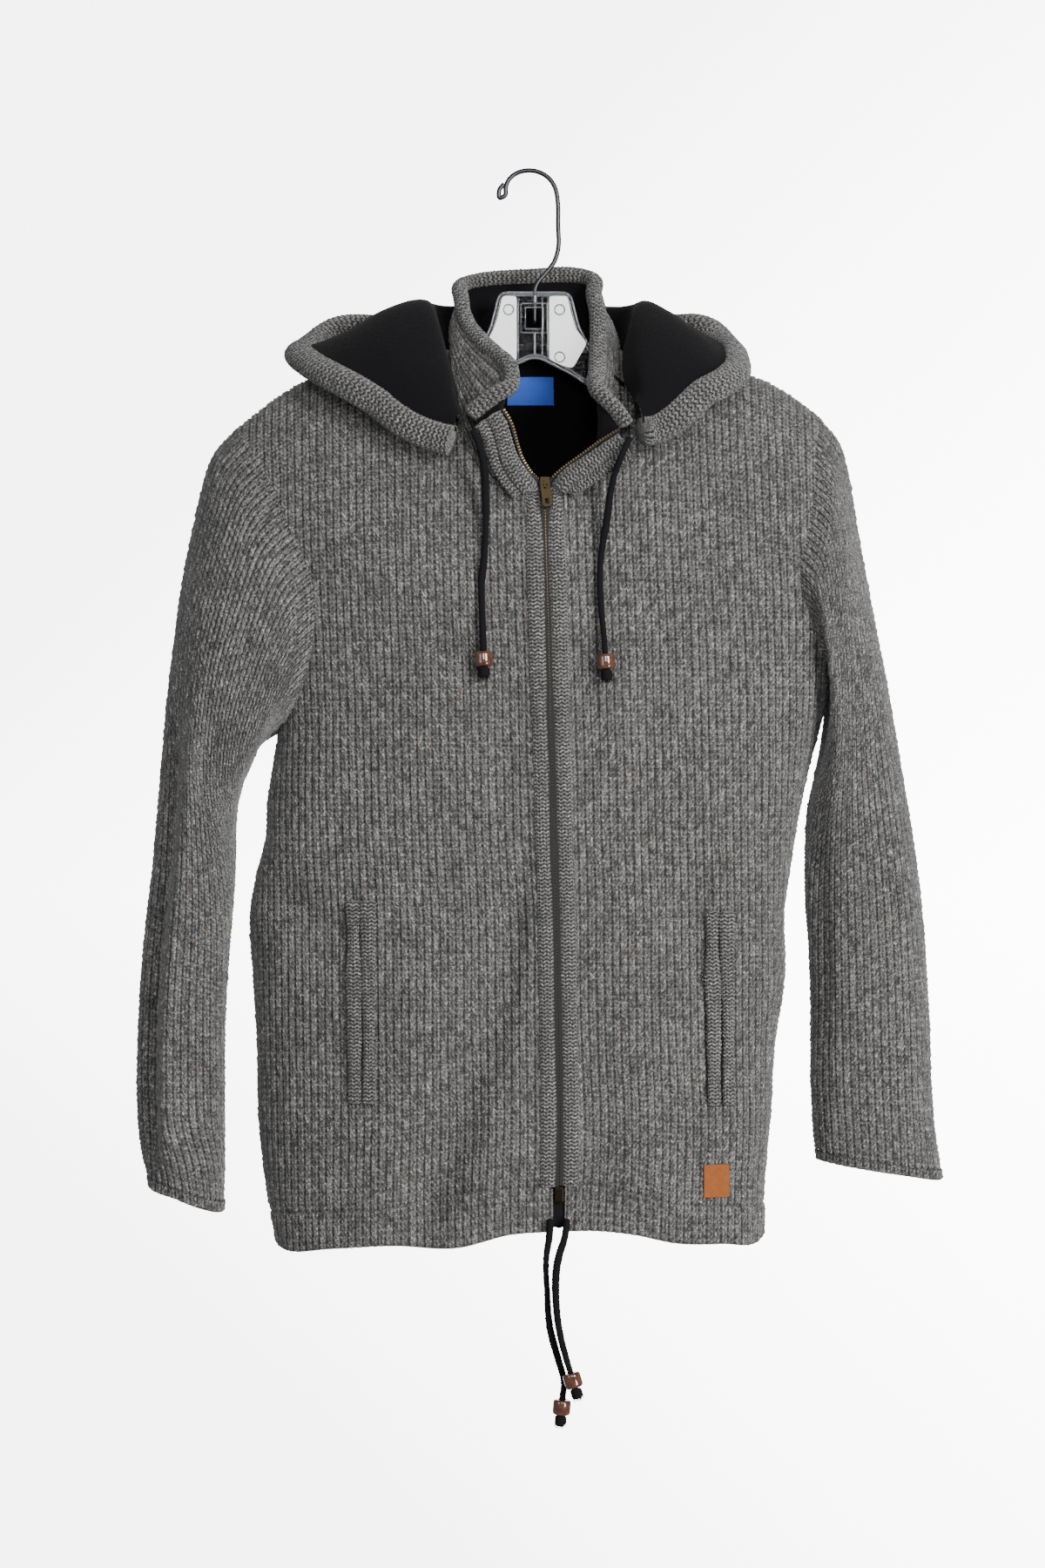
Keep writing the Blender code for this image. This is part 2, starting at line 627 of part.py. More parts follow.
def sleeve_grid(side, front, back):
    """Rings from the armhole to the cuff, each from the shoulder over the front to the underarm."""
    rings = np.array(SLEEVE[side], float)
    front_edge = front[SIDE_ROWS:, -1][::-1]
    column = 0 if side == "left" else -1
    back_edge = back[HEM_ROWS + SIDE_ROWS:, column]
    first = np.vstack([front_edge, back_edge[1:-1]])
    count = len(first)
    turn = np.arange(count) / count * 2 * math.pi
    power = 2 / SLEEVE_POWER
    cosine = np.sign(np.cos(turn)) * np.abs(np.cos(turn)) ** power
    sine = np.sign(np.sin(turn)) * np.abs(np.sin(turn)) ** power
    grid = []
    for r, (ox, oz, ix, iz, y, depth) in enumerate(rings):
        middle = np.array([(ox + ix) / 2, y, (oz + iz) / 2])
        half = np.array([(ox - ix) / 2, 0, (oz - iz) / 2])
        swell = np.zeros(count)
        for which, r0, r1, a0, a1, width, deep in SLEEVE_FOLDS:
            if which != side or not r0 - 1 < r < r1 + 1:
                continue
            part = min(max((r - r0) / (r1 - r0), 0), 1)
            fade = soft_step((r - r0 + 1) / 2) * soft_step((r1 + 1 - r) / 2)
            angle = np.degrees(turn) - (a0 + (a1 - a0) * part)
            angle = (angle + 180) % 360 - 180
            swell += deep * fade * np.exp(-(angle / width) ** 2)
        points = middle + cosine[:, None] * half + sine[:, None] * np.array([0, -depth, 0])
        away = points - middle
        points += away / np.linalg.norm(away, axis=1)[:, None] * swell[:, None]
        grid.append(points)
    grid = np.array(grid)
    offset = first - grid[0]
    for r in range(len(grid)):
        grid[r] += offset * (1 - soft_step(r / 6))
    return grid


def neck_ring(fronts, back):
    """The neckline from the left zip edge round the back of the neck to the right zip edge."""
    start = SIDE_ROWS + ARM_ROWS - NECK_ROWS
    left = fronts["left"][start:, 0]
    right = fronts["right"][start:, 0][::-1]
    middle = back[-1, PANEL_COLUMNS: PANEL_COLUMNS + BACK_NECK_COLUMNS + 1]
    return np.vstack([left, middle[1:-1], right])


def collar_grid(base):
    share = np.linspace(0, 1, len(base))
    top = np.stack([smooth_at(COLLAR["along"], COLLAR[axis], share) for axis in "xyz"], 1)
    middle = base.mean(0) * [1, 1, 0]
    grid = []
    for row in range(COLLAR_ROWS + 1):
        up = row / COLLAR_ROWS
        points = base + (top - base) * up
        away = (points - middle) * [1, 1, 0]
        away /= np.linalg.norm(away, axis=1)[:, None]
        grid.append(points + away * COLLAR_BULGE * 4 * up * (1 - up))
    return np.array(grid)


def hood_grid():
    rows = np.array(HOOD, float)
    key = np.arange(len(rows))
    where = np.concatenate([np.linspace(a, b, n, endpoint=False) for a, b, n in HOOD_PLACES] + [key[-1:]])
    guides = [smooth_at(key, rows[:, g], where) for g in range(rows.shape[1])]
    grid = []
    for section in zip(*guides):
        grid.append(smooth_at(range(len(section)), np.array(section), HOOD_STEPS))
    return np.array(grid)


# ---------------------------------------------------------------- turning grids into solids

def grid_faces(rows, columns, closed=False):
    faces = []
    span = columns if closed else columns - 1
    for i in range(rows - 1):
        for j in range(span):
            k = (j + 1) % columns
            faces.append((i * columns + j, i * columns + k, (i + 1) * columns + k, (i + 1) * columns + j))
    return faces


def grid_triangles(rows, columns, closed=False):
    """Two triangles a cell, always on the same diagonal, so that neighbouring offsets never cross."""
    return [t for a, b, c, d in grid_faces(rows, columns, closed) for t in ((a, b, c), (a, c, d))]


def grid_normals(grid, closed=False):
    rows, columns = grid.shape[:2]
    points = grid.reshape(-1, 3)
    normal = np.zeros_like(points)
    for face in grid_faces(rows, columns, closed):
        a, b, c, d = (points[v] for v in face)
        cross = unit(np.cross(c - a, d - b))
        for v in face:
            normal[v] += cross
    return normal.reshape(grid.shape)


def joined_normals(grids):
    """Normals of the outer surface, the same on both sides of every seam."""
    found = {}
    for grid, closed, flip in grids.values():
        normals = grid_normals(grid, closed) * (-1 if flip else 1)
        for point, normal in zip(grid.reshape(-1, 3), normals.reshape(-1, 3)):
            key = tuple(np.round(point, 3))
            found[key] = found.get(key, 0) + normal
    out = {}
    for name, (grid, _, _) in grids.items():
        merged = np.array([found[tuple(np.round(p, 3))] for p in grid.reshape(-1, 3)])
        out[name] = unit(merged).reshape(grid.shape)
    return out


def drawn_back(grid, normals, edges, closed=False):
    """Shifts that draw the named edges back from their seams by half the seam gap."""
    shift = np.zeros_like(grid)
    rows = {"bottom": (0, 1), "top": (-1, -2)}
    for edge in edges:
        if edge in rows:
            here, inside = rows[edge]
            line, out, step = grid[here], normals[here], grid[inside] - grid[here]
        else:
            here, inside = (0, 1) if edge == "start" else (-1, -2)
            line, out, step = grid[:, here], normals[:, here], grid[:, inside] - grid[:, here]
        if closed:
            along = np.roll(line, -1, 0) - np.roll(line, 1, 0)
        else:
            along = np.gradient(line, axis=0)
        pull = unit(np.cross(along, out)) * SEAM_GAP / 2
        pull *= np.sign((pull * step).sum())
        if edge in rows:
            shift[here] += pull
        else:
            shift[:, here] += pull
    return shift


def add_object(name, vertices, faces, finish, smooth=True):
    mesh = bpy.data.meshes.new(name)
    mesh.from_pydata([tuple(np.asarray(v) * MM) for v in vertices], [], [tuple(f) for f in faces])
    body = bmesh.new()
    body.from_mesh(mesh)
    bmesh.ops.triangulate(body, faces=body.faces[:])
    bmesh.ops.recalc_face_normals(body, faces=body.faces[:])
    if body.calc_volume(signed=True) < 0:
        bmesh.ops.reverse_faces(body, faces=body.faces[:])
    body.to_mesh(mesh)
    body.free()
    if smooth:
        mesh.shade_smooth()
    mesh.materials.append(material(finish))
    thing = bpy.data.objects.new(name, mesh)
    bpy.context.scene.collection.objects.link(thing)
    return thing


def wall(name, grid, normals, outer, inner, edges, finish, closed=False):
    """A closed wall between two offsets of a grid surface, measured out of the cloth."""
    shift = drawn_back(grid, normals, edges, closed)
    near = grid + normals * outer + shift
    far = grid + normals * inner + shift
    rows, columns = grid.shape[:2]
    count = rows * columns
    vertices = np.vstack([near.reshape(-1, 3), far.reshape(-1, 3)])
    faces = grid_triangles(rows, columns, closed)
    faces += [tuple(v + count for v in face[::-1]) for face in faces]
    weight = grid.reshape(-1, 3) @ RIM_WEIGHT
    loop = [(0, j) for j in range(columns)]
    last = [(rows - 1, j) for j in range(columns)]
    if closed:
        rims = [loop + loop[:1], last + last[:1]]
    else:
        right = [(i, columns - 1) for i in range(1, rows)]
        left = [(i, 0) for i in range(rows - 2, 0, -1)]
        rims = [loop + right + last[-2::-1] + left + loop[:1]]
    for rim in rims:
        index = [i * columns + j for i, j in rim]
        for a, b in zip(index[:-1], index[1:]):
            if weight[a] > weight[b]:
                faces += [(a, b, b + count), (a, b + count, a + count)]
            else:
                faces += [(a, b, a + count), (b, b + count, a + count)]
    return add_object(name, vertices, faces, finish)


def tube(name, centre, across, out, half_width, half_thick, sides, finish):
    """A closed bar of oval section along a row of points, with its own sideways and outward directions."""
    vertices = []
    for middle, side, face in zip(centre, across, out):
        for s in range(sides):
            turn = 2 * math.pi * (s + 0.5) / sides
            reach = side * half_width * math.cos(turn) + face * half_thick * math.sin(turn)
            vertices.append(middle + reach)
    rows = len(centre)
    faces = grid_faces(rows, sides, True)
    faces.append(tuple(range(sides)))
    faces.append(tuple(range((rows - 1) * sides, rows * sides)))
    return add_object(name, vertices, faces, finish)


def directions(points):
    step = np.gradient(points, axis=0)
    return step / np.linalg.norm(step, axis=1)[:, None]


def unit(vectors):
    return vectors / np.linalg.norm(vectors, axis=-1, keepdims=True)


# ---------------------------------------------------------------- finishes

FINISHES = {
    "grey_knit": ((0.13, 0.13, 0.128), 0.95, 0.0),
    "black_fleece": ((0.012, 0.012, 0.013), 0.98, 0.0),
    "black_cord": ((0.014, 0.014, 0.016), 0.9, 0.0),
    "zip_tape": ((0.02, 0.02, 0.021), 0.85, 0.0),
    "aged_brass": ((0.30, 0.22, 0.12), 0.4, 1.0),
    "brown_bead": ((0.16, 0.045, 0.018), 0.2, 0.0),
    "tan_leather": ((0.42, 0.18, 0.06), 0.6, 0.0),
    "blue_label": ((0.03, 0.11, 0.42), 0.7, 0.0),
    "clear_plastic": ((0.85, 0.87, 0.88), 0.08, 0.0),
    "steel_wire": ((0.32, 0.32, 0.33), 0.35, 1.0),
}


def material(name):
    found = bpy.data.materials.get(name)
    if found:
        return found
    colour, roughness, metallic = FINISHES[name]
    found = bpy.data.materials.new(name)
    found.use_nodes = True
    shader = found.node_tree.nodes["Principled BSDF"]
    shader.inputs["Base Color"].default_value = (*colour, 1)
    shader.inputs["Roughness"].default_value = roughness
    shader.inputs["Metallic"].default_value = metallic
    return found


# ---------------------------------------------------------------- the pieces

def make_body():
    fronts = {side: front_grid(side) for side in ("left", "right")}
    hems = {side: front_hem_grid(side, fronts[side]) for side in fronts}
    back = back_grid(fronts, hems)
    sleeves = {side: sleeve_grid(side, fronts[side], back) for side in ("left", "right")}
    collar = collar_grid(neck_ring(fronts, back))
    grids = {
        "front_left": (fronts["left"], False, False),
        "front_right": (fronts["right"], False, True),
        "hem_front_left": (hems["left"], False, False),
        "hem_front_right": (hems["right"], False, True),
        "back": (back, False, False),
        "sleeve_left": (sleeves["left"], True, False),
        "sleeve_right": (sleeves["right"], True, True),
        "collar": (collar, False, True),
    }
    turned = {}
    for name, (grid, closed, _) in grids.items():
        normals = grid_normals(grid, closed)
        centre = np.array([5.0, 0.0, -500.0])
        if name.startswith("sleeve"):
            outward = (normals * (grid - grid.mean(1, keepdims=True))).sum()
        elif name == "collar":
            outward = (normals * (grid - grid.mean((0, 1)))).sum()
        else:
            outward = (normals * (grid - centre) * [0.2, 1, 0]).sum()
        turned[name] = (grid, closed, outward < 0)
    return turned, joined_normals(turned)


def hem_and_panels(grids, normals):
    edges = ("bottom", "top", "start", "end")
    hem_edges = ("top", "start", "end")
    deep = -KNIT_WALL - FLEECE
    for name in ("front_left", "front_right"):
        wall(name, grids[name][0], normals[name], 0, deep, edges, "grey_knit")
        hem = "hem_" + name
        wall(hem, grids[hem][0], normals[hem], HEM_PROUD, deep, hem_edges, "grey_knit")
    back, normal = grids["back"][0], normals["back"]
    wall("back", back[HEM_ROWS:], normal[HEM_ROWS:], 0, deep, edges, "grey_knit")
    wall("hem_back", back[: HEM_ROWS + 1], normal[: HEM_ROWS + 1], HEM_PROUD, deep, hem_edges, "grey_knit")


def sleeves_and_cuffs(grids, normals):
    for side in ("left", "right"):
        grid, _, _ = grids["sleeve_" + side]
        normal = normals["sleeve_" + side]
        wall("sleeve_" + side, grid, normal, 0, -KNIT_WALL - FLEECE, ("bottom", "top"), "grey_knit", True)
        step = unit(grid[-1] - grid[-2])
        cuff = np.array([grid[-1], grid[-1] + step * CUFF_DEEP])
        out = np.array([normal[-1]] * 2)
        wall("cuff_" + side, cuff, out, CUFF_PROUD, -KNIT_WALL - FLEECE, ("bottom",), "grey_knit", True)


def rolled_edge(name, edge, away, radius):
    """A rolled tube just past an edge of a wall."""
    along = directions(edge)
    away = unit(away - along * (away * along).sum(1, keepdims=True))
    away[1:-1] = unit(away[:-2] + 2 * away[1:-1] + away[2:])
    centre = edge + away * (radius + ROLL_GAP)
    along = directions(centre)
    across = unit(np.cross(along, away))
    tube(name, centre, across, unit(np.cross(across, along)), radius, radius, 8, "grey_knit")


def collar_pieces(grids, normals):
    grid, _, _ = grids["collar"]
    normal = normals["collar"]
    grid = grid.copy()
    grid[0] += unit(grid[1] - grid[0]) * COLLAR_LIFT
    edges = ("bottom", "top")
    under = -KNIT_WALL - SEAM_GAP
    wall("collar", grid, normal, 0, -KNIT_WALL, edges, "grey_knit")
    wall("collar_lining", grid, normal, under, under - FLEECE, edges, "black_fleece")
    middle = grid[-1] - normal[-1] * (KNIT_WALL + FLEECE) / 2
    rolled_edge("collar_roll", middle, grid[-1] - grid[-2], COLLAR_ROLL)


def hood_pieces():
    grid = hood_grid()
    normal = grid_normals(grid)
    if (normal[len(grid) // 2, -2] * [0, 1, 0]).sum() < 0:
        normal = -normal
    normal = unit(normal)
    deep = -HOOD_WALL - SEAM_GAP
    wall("hood", grid, normal, 0, -HOOD_WALL, (), "grey_knit")
    wall("hood_lining", grid, normal, deep, deep - HOOD_FLEECE, (), "black_fleece")
    rolled_edge("hood_roll", grid[:, -1] + normal[:, -1] * deep / 2, grid[:, -1] - grid[:, -2], HOOD_ROLL)


def surface_at(face, x, z, lift=0.0):
    """A point of the torso's outer surface at x and z, moved out by lift, with its outward direction."""
    across, rise = place_at(x, z)
    here = np.array(torso_point(face, across, rise))
    beside = np.array(torso_point(face, *place_at(x + 3, z)))
    above = np.array(torso_point(face, *place_at(x, z + 3)))
    normal = unit(np.cross(above - here, beside - here))
    if normal[1] * here[1] < 0:
        normal = -normal
    return here + normal * lift, normal


def panel_at(grid, normals, x, z):
    """The flat facet of a panel that covers x and z: its point there and its outward direction."""
    points = grid.reshape(-1, 3)
    facing = normals.reshape(-1, 3)
    best = None
    for corners in grid_triangles(*grid.shape[:2]):
        a, b, c = points[list(corners)]
        area = (b[0] - a[0]) * (c[2] - a[2]) - (c[0] - a[0]) * (b[2] - a[2])
        if abs(area) < 1e-6:
            continue
        v = ((x - a[0]) * (c[2] - a[2]) - (c[0] - a[0]) * (z - a[2])) / area
        w = ((b[0] - a[0]) * (z - a[2]) - (x - a[0]) * (b[2] - a[2])) / area
        inside = min(v, w, 1 - v - w)
        if best is None or inside > best[0]:
            share = np.array([1 - v - w, v, w])
            best = inside, share @ points[list(corners)], unit(share @ facing[list(corners)])
    return best[1], best[2]


def zip_pieces():
    slider, _ = surface_at("front", table("zip", SLIDER_Z), SLIDER_Z)
    for sign, side in ((-1, "left"), (1, "right")):
        low = hem_z(side, 0, True) + STRIP_END
        tops = np.array([(x, slider[1] - forward, z) for x, forward, z in ZIP_V[side]])[::-1]
        heights = np.linspace(low, tops[0][2] - ZIP_BLEND, ZIP_STEPS)
        beside = sign * (STRIP_WIDTH / 2 + STRIP_APART)
        rows = [surface_at("front", table("zip", z) + beside, z, -STRIP_SUNK) for z in heights]
        strip = np.vstack([[p for p, _ in rows], tops])
        out = np.vstack([[n for _, n in rows], [V_FACING] * len(tops)])
        along = directions(strip)
        across = unit(np.cross(along, out))
        out = unit(np.cross(across, along))
        half = STRIP_WIDTH / math.sqrt(2)
        tube("zip_strip_" + side, strip, across, out, half, STRIP_THICK, 4, "zip_tape")
        away = across * (1 if across[0][0] * sign > 0 else -1)
        band = strip + away * BAND_FROM_TEETH
        for i, (x, y, z) in enumerate(band[:ZIP_STEPS]):
            band[i] = surface_at("front", x, z, BAND_PROUD - BAND_THICK / 2)[0]
        band[ZIP_STEPS:] += out[ZIP_STEPS:] * BAND_LIFT
        along = directions(band)
        across = unit(np.cross(along, out))
        out = unit(np.cross(across, along))
        half = BAND_WIDTH / 2 - PIECE_GAP
        tube("zip_band_" + side, band, across, out, half, BAND_THICK / 2, 8, "grey_knit")


def box(name, centre, size, finish, frame=None, bevel=0.0):
    signs = [(a, b, c) for a in (-1, 1) for b in (-1, 1) for c in (-1, 1)]
    corners = np.array(signs, float) * np.array(size) / 2
    if frame is not None:
        corners = corners @ frame
    faces = [(0, 1, 3, 2), (4, 6, 7, 5), (0, 4, 5, 1), (2, 3, 7, 6), (0, 2, 6, 4), (1, 5, 7, 3)]
    thing = add_object(name, corners + np.array(centre), faces, finish, smooth=False)
    if bevel:
        soft = thing.modifiers.new("edge", "BEVEL")
        soft.width = bevel * MM
        soft.segments = 1
    return thing


def joined(base, others):
    """Union of touching boxes into the first one."""
    for other in others:
        other.hide_render = True
        other.display_type = "WIRE"
        union = base.modifiers.new("with " + other.name, "BOOLEAN")
        union.operation = "UNION"
        union.object = other
    return base


def slider_frame():
    """The slider's own directions: across, out of the cloth, up the zip; and its point on the zip."""
    point, normal = surface_at("front", table("zip", SLIDER_Z), SLIDER_Z)
    x = table("zip", SLIDER_Z)
    up = unit(surface_at("front", x, SLIDER_Z + 6)[0] - surface_at("front", x, SLIDER_Z - 6)[0])
    across = unit(np.cross(normal, up))
    return point, np.array([across, normal, unit(np.cross(across, normal))])


def slider_pieces():
    point, frame = slider_frame()

    def place(across, out, up):
        return point + across * frame[0] + out * frame[1] + up * frame[2]

    plate = SLIDER["plate"]
    body = box("slider", place(0, SLIDER["face"] - plate[1] / 2, 0), plate, "aged_brass", frame)
    arch = SLIDER["arch"]
    wide, tall, long, post, bridge = arch
    sunk = 0.2
    foot = (wide, tall + sunk, post)
    middle = SLIDER["face"] + (tall - sunk) / 2
    high = SLIDER["face"] + tall + 0.05 - bridge / 2
    reach = (long - post) / 2
    joined(body, [
        box("slider_arch_top", place(0, middle, reach), foot, "aged_brass", frame),
        box("slider_arch_foot", place(0, middle, -reach), foot, "aged_brass", frame),
        box("slider_arch_bridge", place(0, high, 0), (wide, bridge, long - 0.1), "aged_brass", frame),
    ])
    tab_piece(place(0, SLIDER["face"] + SLIDER["pin out"], 0), frame)


def rectangle(wide, low, high):
    return [(-wide / 2, low), (wide / 2, low), (wide / 2, high), (-wide / 2, high)]


def tab_piece(hinge, frame):
    """A flat tab with a crossbar under the slider's arch and a window at its free end."""
    cosine, sine = math.cos(TAB_TILT), math.sin(TAB_TILT)
    across = frame[0] * cosine - frame[2] * sine
    down = -frame[0] * sine - frame[2] * cosine
    out = unit(np.cross(across, down)) * -1
    if out @ frame[1] < 0:
        out = -out
    wide, long, thick = TAB["width"], TAB["length"], TAB["thick"]
    eye_wide, eye_long, bar = TAB["eye"]
    win_wide, win_long, win_end = TAB["window"]
    end, cut = long - bar, TAB["corner"]
    half = wide / 2
    outer = [
        (-half, -bar), (half, -bar), (half, end - cut),
        (half - cut, end), (cut - half, end), (-half, end - cut),
    ]
    holes = [
        rectangle(eye_wide, 0.0, eye_long),
        rectangle(win_wide, end - win_end - win_long, end - win_end),
    ]
    mesh = bmesh.new()
    for outline in [outer] + holes:
        ring = [mesh.verts.new((u, v, 0)) for u, v in outline]
        for a, b in zip(ring, ring[1:] + ring[:1]):
            mesh.edges.new((a, b))
    bmesh.ops.triangle_fill(mesh, edges=mesh.edges[:], use_beauty=True)
    made = bmesh.ops.extrude_face_region(mesh, geom=mesh.faces[:])
    for v in made["geom"]:
        if isinstance(v, bmesh.types.BMVert):
            v.co.z = thick
    local = [np.array(v.co) for v in mesh.verts]
    mesh.verts.index_update()
    faces = [[v.index for v in f.verts] for f in mesh.faces]
    vertices = [p[0] * across + (p[1] + bar / 2) * down + (p[2] - thick / 2) * out for p in local]
    mesh.free()
    tab = add_object("pull_tab", vertices, faces, "aged_brass", smooth=False)
    tab.location = hinge * MM
    return tab


def bottom_box():
    wide, thick, long = BOTTOM_BOX
    z = hem_z("left", 0, True) + STRIP_END - PIECE_GAP - long / 2
    point, normal = surface_at("front", table("zip", z), z, 2.0)
    frame = np.array([[1, 0, 0], normal, unit(np.cross([1, 0, 0], normal))])
    box("zip_bottom_box", point, BOTTOM_BOX, "aged_brass", frame, 0.4)


def welts(grids, normals):
    for side, (top_x, low_x, top_z, low_z) in POCKETS.items():
        panel = grids["front_" + side][0], normals["front_" + side]
        for k, tag in ((-1, "a"), (1, "b")):
            heights = np.linspace(low_z, top_z, WELT["steps"] + 1)
            shift = k * (WELT["width"] + WELT["apart"]) / 2 + WELT["width"] / 2 + 1
            middle = np.linspace(low_x, top_x, WELT["steps"] + 1) + shift
            rows = [panel_at(*panel, x, z) for x, z in zip(middle, heights)]
            out = np.array([n for _, n in rows])
            centre = np.array([p for p, _ in rows]) + out * (WELT["thick"] / 2 + WELT["gap"])
            across = unit(np.cross(directions(centre), out))
            half, deep = WELT["width"] / 2, WELT["thick"] / 2
            tube("welt_" + side + "_" + tag, centre, across, out, half, deep, 6, "grey_knit")


def flat_on(panel, xs, zs):
    """A small grid of points and directions read off a panel."""
    rows = [[panel_at(*panel, x, z) for x in xs] for z in zs]
    return np.array([[p for p, _ in row] for row in rows]), np.array([[n for _, n in row] for row in rows])


def patch_piece(grids, normals):
    panel = grids["front_right"][0], normals["front_right"]
    grid, out = flat_on(panel, np.linspace(*PATCH["x"], 4), np.linspace(*PATCH["z"], 3))
    wall("leather_patch", grid, out, PATCH["gap"] + PATCH["thick"], PATCH["gap"], (), "tan_leather")


def lining_and_label(grids, normals):
    grid, _, _ = grids["back"]
    normal = normals["back"]
    first = len(grid) - YOKE_ROWS - 1
    lo, hi = PANEL_COLUMNS - 3, PANEL_COLUMNS + BACK_NECK_COLUMNS + 4
    part, out = grid[first:, lo:hi], normal[first:, lo:hi]
    deep = -KNIT_WALL - FLEECE - SEAM_GAP
    wall("back_lining", part, out, deep, deep - FLEECE, ("top",), "black_fleece")
    heights = np.linspace(LABEL["bottom z"], LABEL["top z"], 3)
    label, facing = flat_on((grid, normal), np.linspace(*LABEL["x"], 5), heights)
    deep -= FLEECE + LABEL["gap"]
    wall("neck_label", label, facing, deep, deep - LABEL["thick"], (), "blue_label")


def cord_curve(name, route, diameter, finish, spacing, resolution):
    points = np.array(route, float)
    length = np.concatenate([[0], np.cumsum(np.linalg.norm(np.diff(points, axis=0), axis=1))])
    count = max(6, int(length[-1] / spacing) + 1)
    line = smooth_at(length, points, np.linspace(0, length[-1], count))
    curve = bpy.data.curves.new(name, "CURVE")
    curve.dimensions = "3D"
    curve.bevel_depth = diameter / 2 * MM
    curve.bevel_resolution = resolution
    curve.use_fill_caps = True
    curve.resolution_u = 1
    curve.render_resolution_u = 0
    spline = curve.splines.new("POLY")
    spline.points.add(count - 1)
    for place, point in zip(line, spline.points):
        point.co = (*(place * MM), 1)
    curve.materials.append(material(finish))
    thing = bpy.data.objects.new(name, curve)
    bpy.context.scene.collection.objects.link(thing)
    return line


def turned(name, start, axis, profile, sides, finish):
    """A solid turned round an axis: profile rows are (distance along, radius)."""
    axis = unit(np.array(axis, float))
    side = unit(np.cross(axis, [0.3, 1, 0.1]))
    other = np.cross(axis, side)
    vertices = []
    for along, radius in profile:
        for s in range(sides):
            turn = 2 * math.pi * s / sides
            reach = side * math.cos(turn) + other * math.sin(turn)
            vertices.append(start + axis * along + reach * radius)
    rows = len(profile)
    faces = grid_faces(rows, sides, True)
    faces.append(tuple(range(sides)))
    faces.append(tuple(range((rows - 1) * sides, rows * sides)))
    return add_object(name, np.array(vertices), faces, finish)


def cords():
    for name, route in CORDS.items():
        line = cord_curve(name, route, CORD_DIAMETER, "black_cord", 13.0, 2)
        axis = unit(line[-1] - line[-2])
        end = line[-1] + axis * PIECE_GAP
        long, radius = BEAD["length"], BEAD["diameter"] / 2
        first = [(along, radius * share) for along, share in BEAD["round"]]
        bead = first + [(long - along, wide) for along, wide in first[::-1]]
        turned("bead_" + name, end, axis, bead, 12, "brown_bead")
        tip = end + axis * (long + PIECE_GAP)
        knot = [(along, KNOT["radius"] * share) for along, share in KNOT["round"]]
        turned("knot_" + name, tip, axis, knot, 9, "black_cord")


def hanger_pieces():
    """Plate, shoulders and hook. The shoulders follow the cloth's inner ridge."""
    under = KNIT_WALL + 2 * FLEECE + 2.3
    left_start, right_start = HANGER["arm start"]
    left_tip, right_tip = HANGER["arm tip"]
    deep0, deep1 = HANGER["arm deep"]

    def top_z(x):
        slope = math.atan(abs(ridge_z(x + 2) - ridge_z(x - 2)) / 4)
        near_neck = math.exp(-((abs(x - RIDGE_MIDDLE) - NECK["half width"]) / 16) ** 2)
        return ridge_z(x) - under / math.cos(slope) - HANGER["neck dip"] * near_neck

    def arm_edge(first, last, start=None, tip=None):
        """Top edge from first to last, or the lower edge if the arm's start and tip are given."""
        rows = []
        for x in np.linspace(first, last, ARM_POINTS):
            deep = 0 if start is None else deep0 + (deep1 - deep0) * (x - start) / (tip - start)
            rows.append((x, top_z(x) - deep))
        return rows

    right_top = arm_edge(right_start, right_tip)
    right_low = arm_edge(right_tip, right_start, right_start, right_tip)
    left_top = arm_edge(left_tip, left_start)
    left_low = arm_edge(left_start, left_tip, left_start, left_tip)
    (tx0, tx1), tz = HANGER["plate top"], HANGER["plate top z"]
    (wx0, wx1), wz = HANGER["plate waist"], HANGER["plate waist z"]
    plate_top = [
        (wx0, wz), (wx0 + 3.2, wz + 12), (tx0, tz - 3), (tx0 + 3, tz),
        (tx1 - 3, tz), (tx1, tz - 3), (wx1 - 3.2, wz + 12), (wx1, wz),
    ]
    arch = list(HANGER["arch"])[::-1]
    outline = left_top + plate_top + right_top + right_low + arch + left_low
    x0, x1, z0, z1 = HANGER["window"]
    window = [(x0, z0), (x1, z0), (x1, z1), (x0, z1)]
    mesh = bmesh.new()
    for ring in (outline, window):
        verts = [mesh.verts.new((x, -HANGER["thick"] / 2, z)) for x, z in ring]
        for a, b in zip(verts, verts[1:] + verts[:1]):
            mesh.edges.new((a, b))
    bmesh.ops.triangle_fill(mesh, edges=mesh.edges[:], use_beauty=True)
    made = bmesh.ops.extrude_face_region(mesh, geom=mesh.faces[:])
    for v in made["geom"]:
        if isinstance(v, bmesh.types.BMVert):
            v.co.y = HANGER["thick"] / 2
    mesh.verts.index_update()
    vertices = [np.array(v.co) for v in mesh.verts]
    faces = [[v.index for v in f.verts] for f in mesh.faces]
    mesh.free()
    add_object("hanger_body", vertices, faces, "clear_plastic", smooth=False)
    route = [(x, 0, z) for x, z in HOOK["route"]]
    route[-1] = (HOOK["route"][-1][0], 0, tz + PIECE_GAP)
    cord_curve("hanger_hook", route, HOOK["wire"], "steel_wire", 6.0, 2)


def clear_scene():
    for thing in list(bpy.data.objects):
        bpy.data.objects.remove(thing, do_unlink=True)


def build():
    clear_scene()
    grids, normals = make_body()
    hem_and_panels(grids, normals)
    sleeves_and_cuffs(grids, normals)
    collar_pieces(grids, normals)
    hood_pieces()
    zip_pieces()
    slider_pieces()
    bottom_box()
    welts(grids, normals)
    patch_piece(grids, normals)
    lining_and_label(grids, normals)
    cords()
    hanger_pieces()


build()
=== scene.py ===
import math

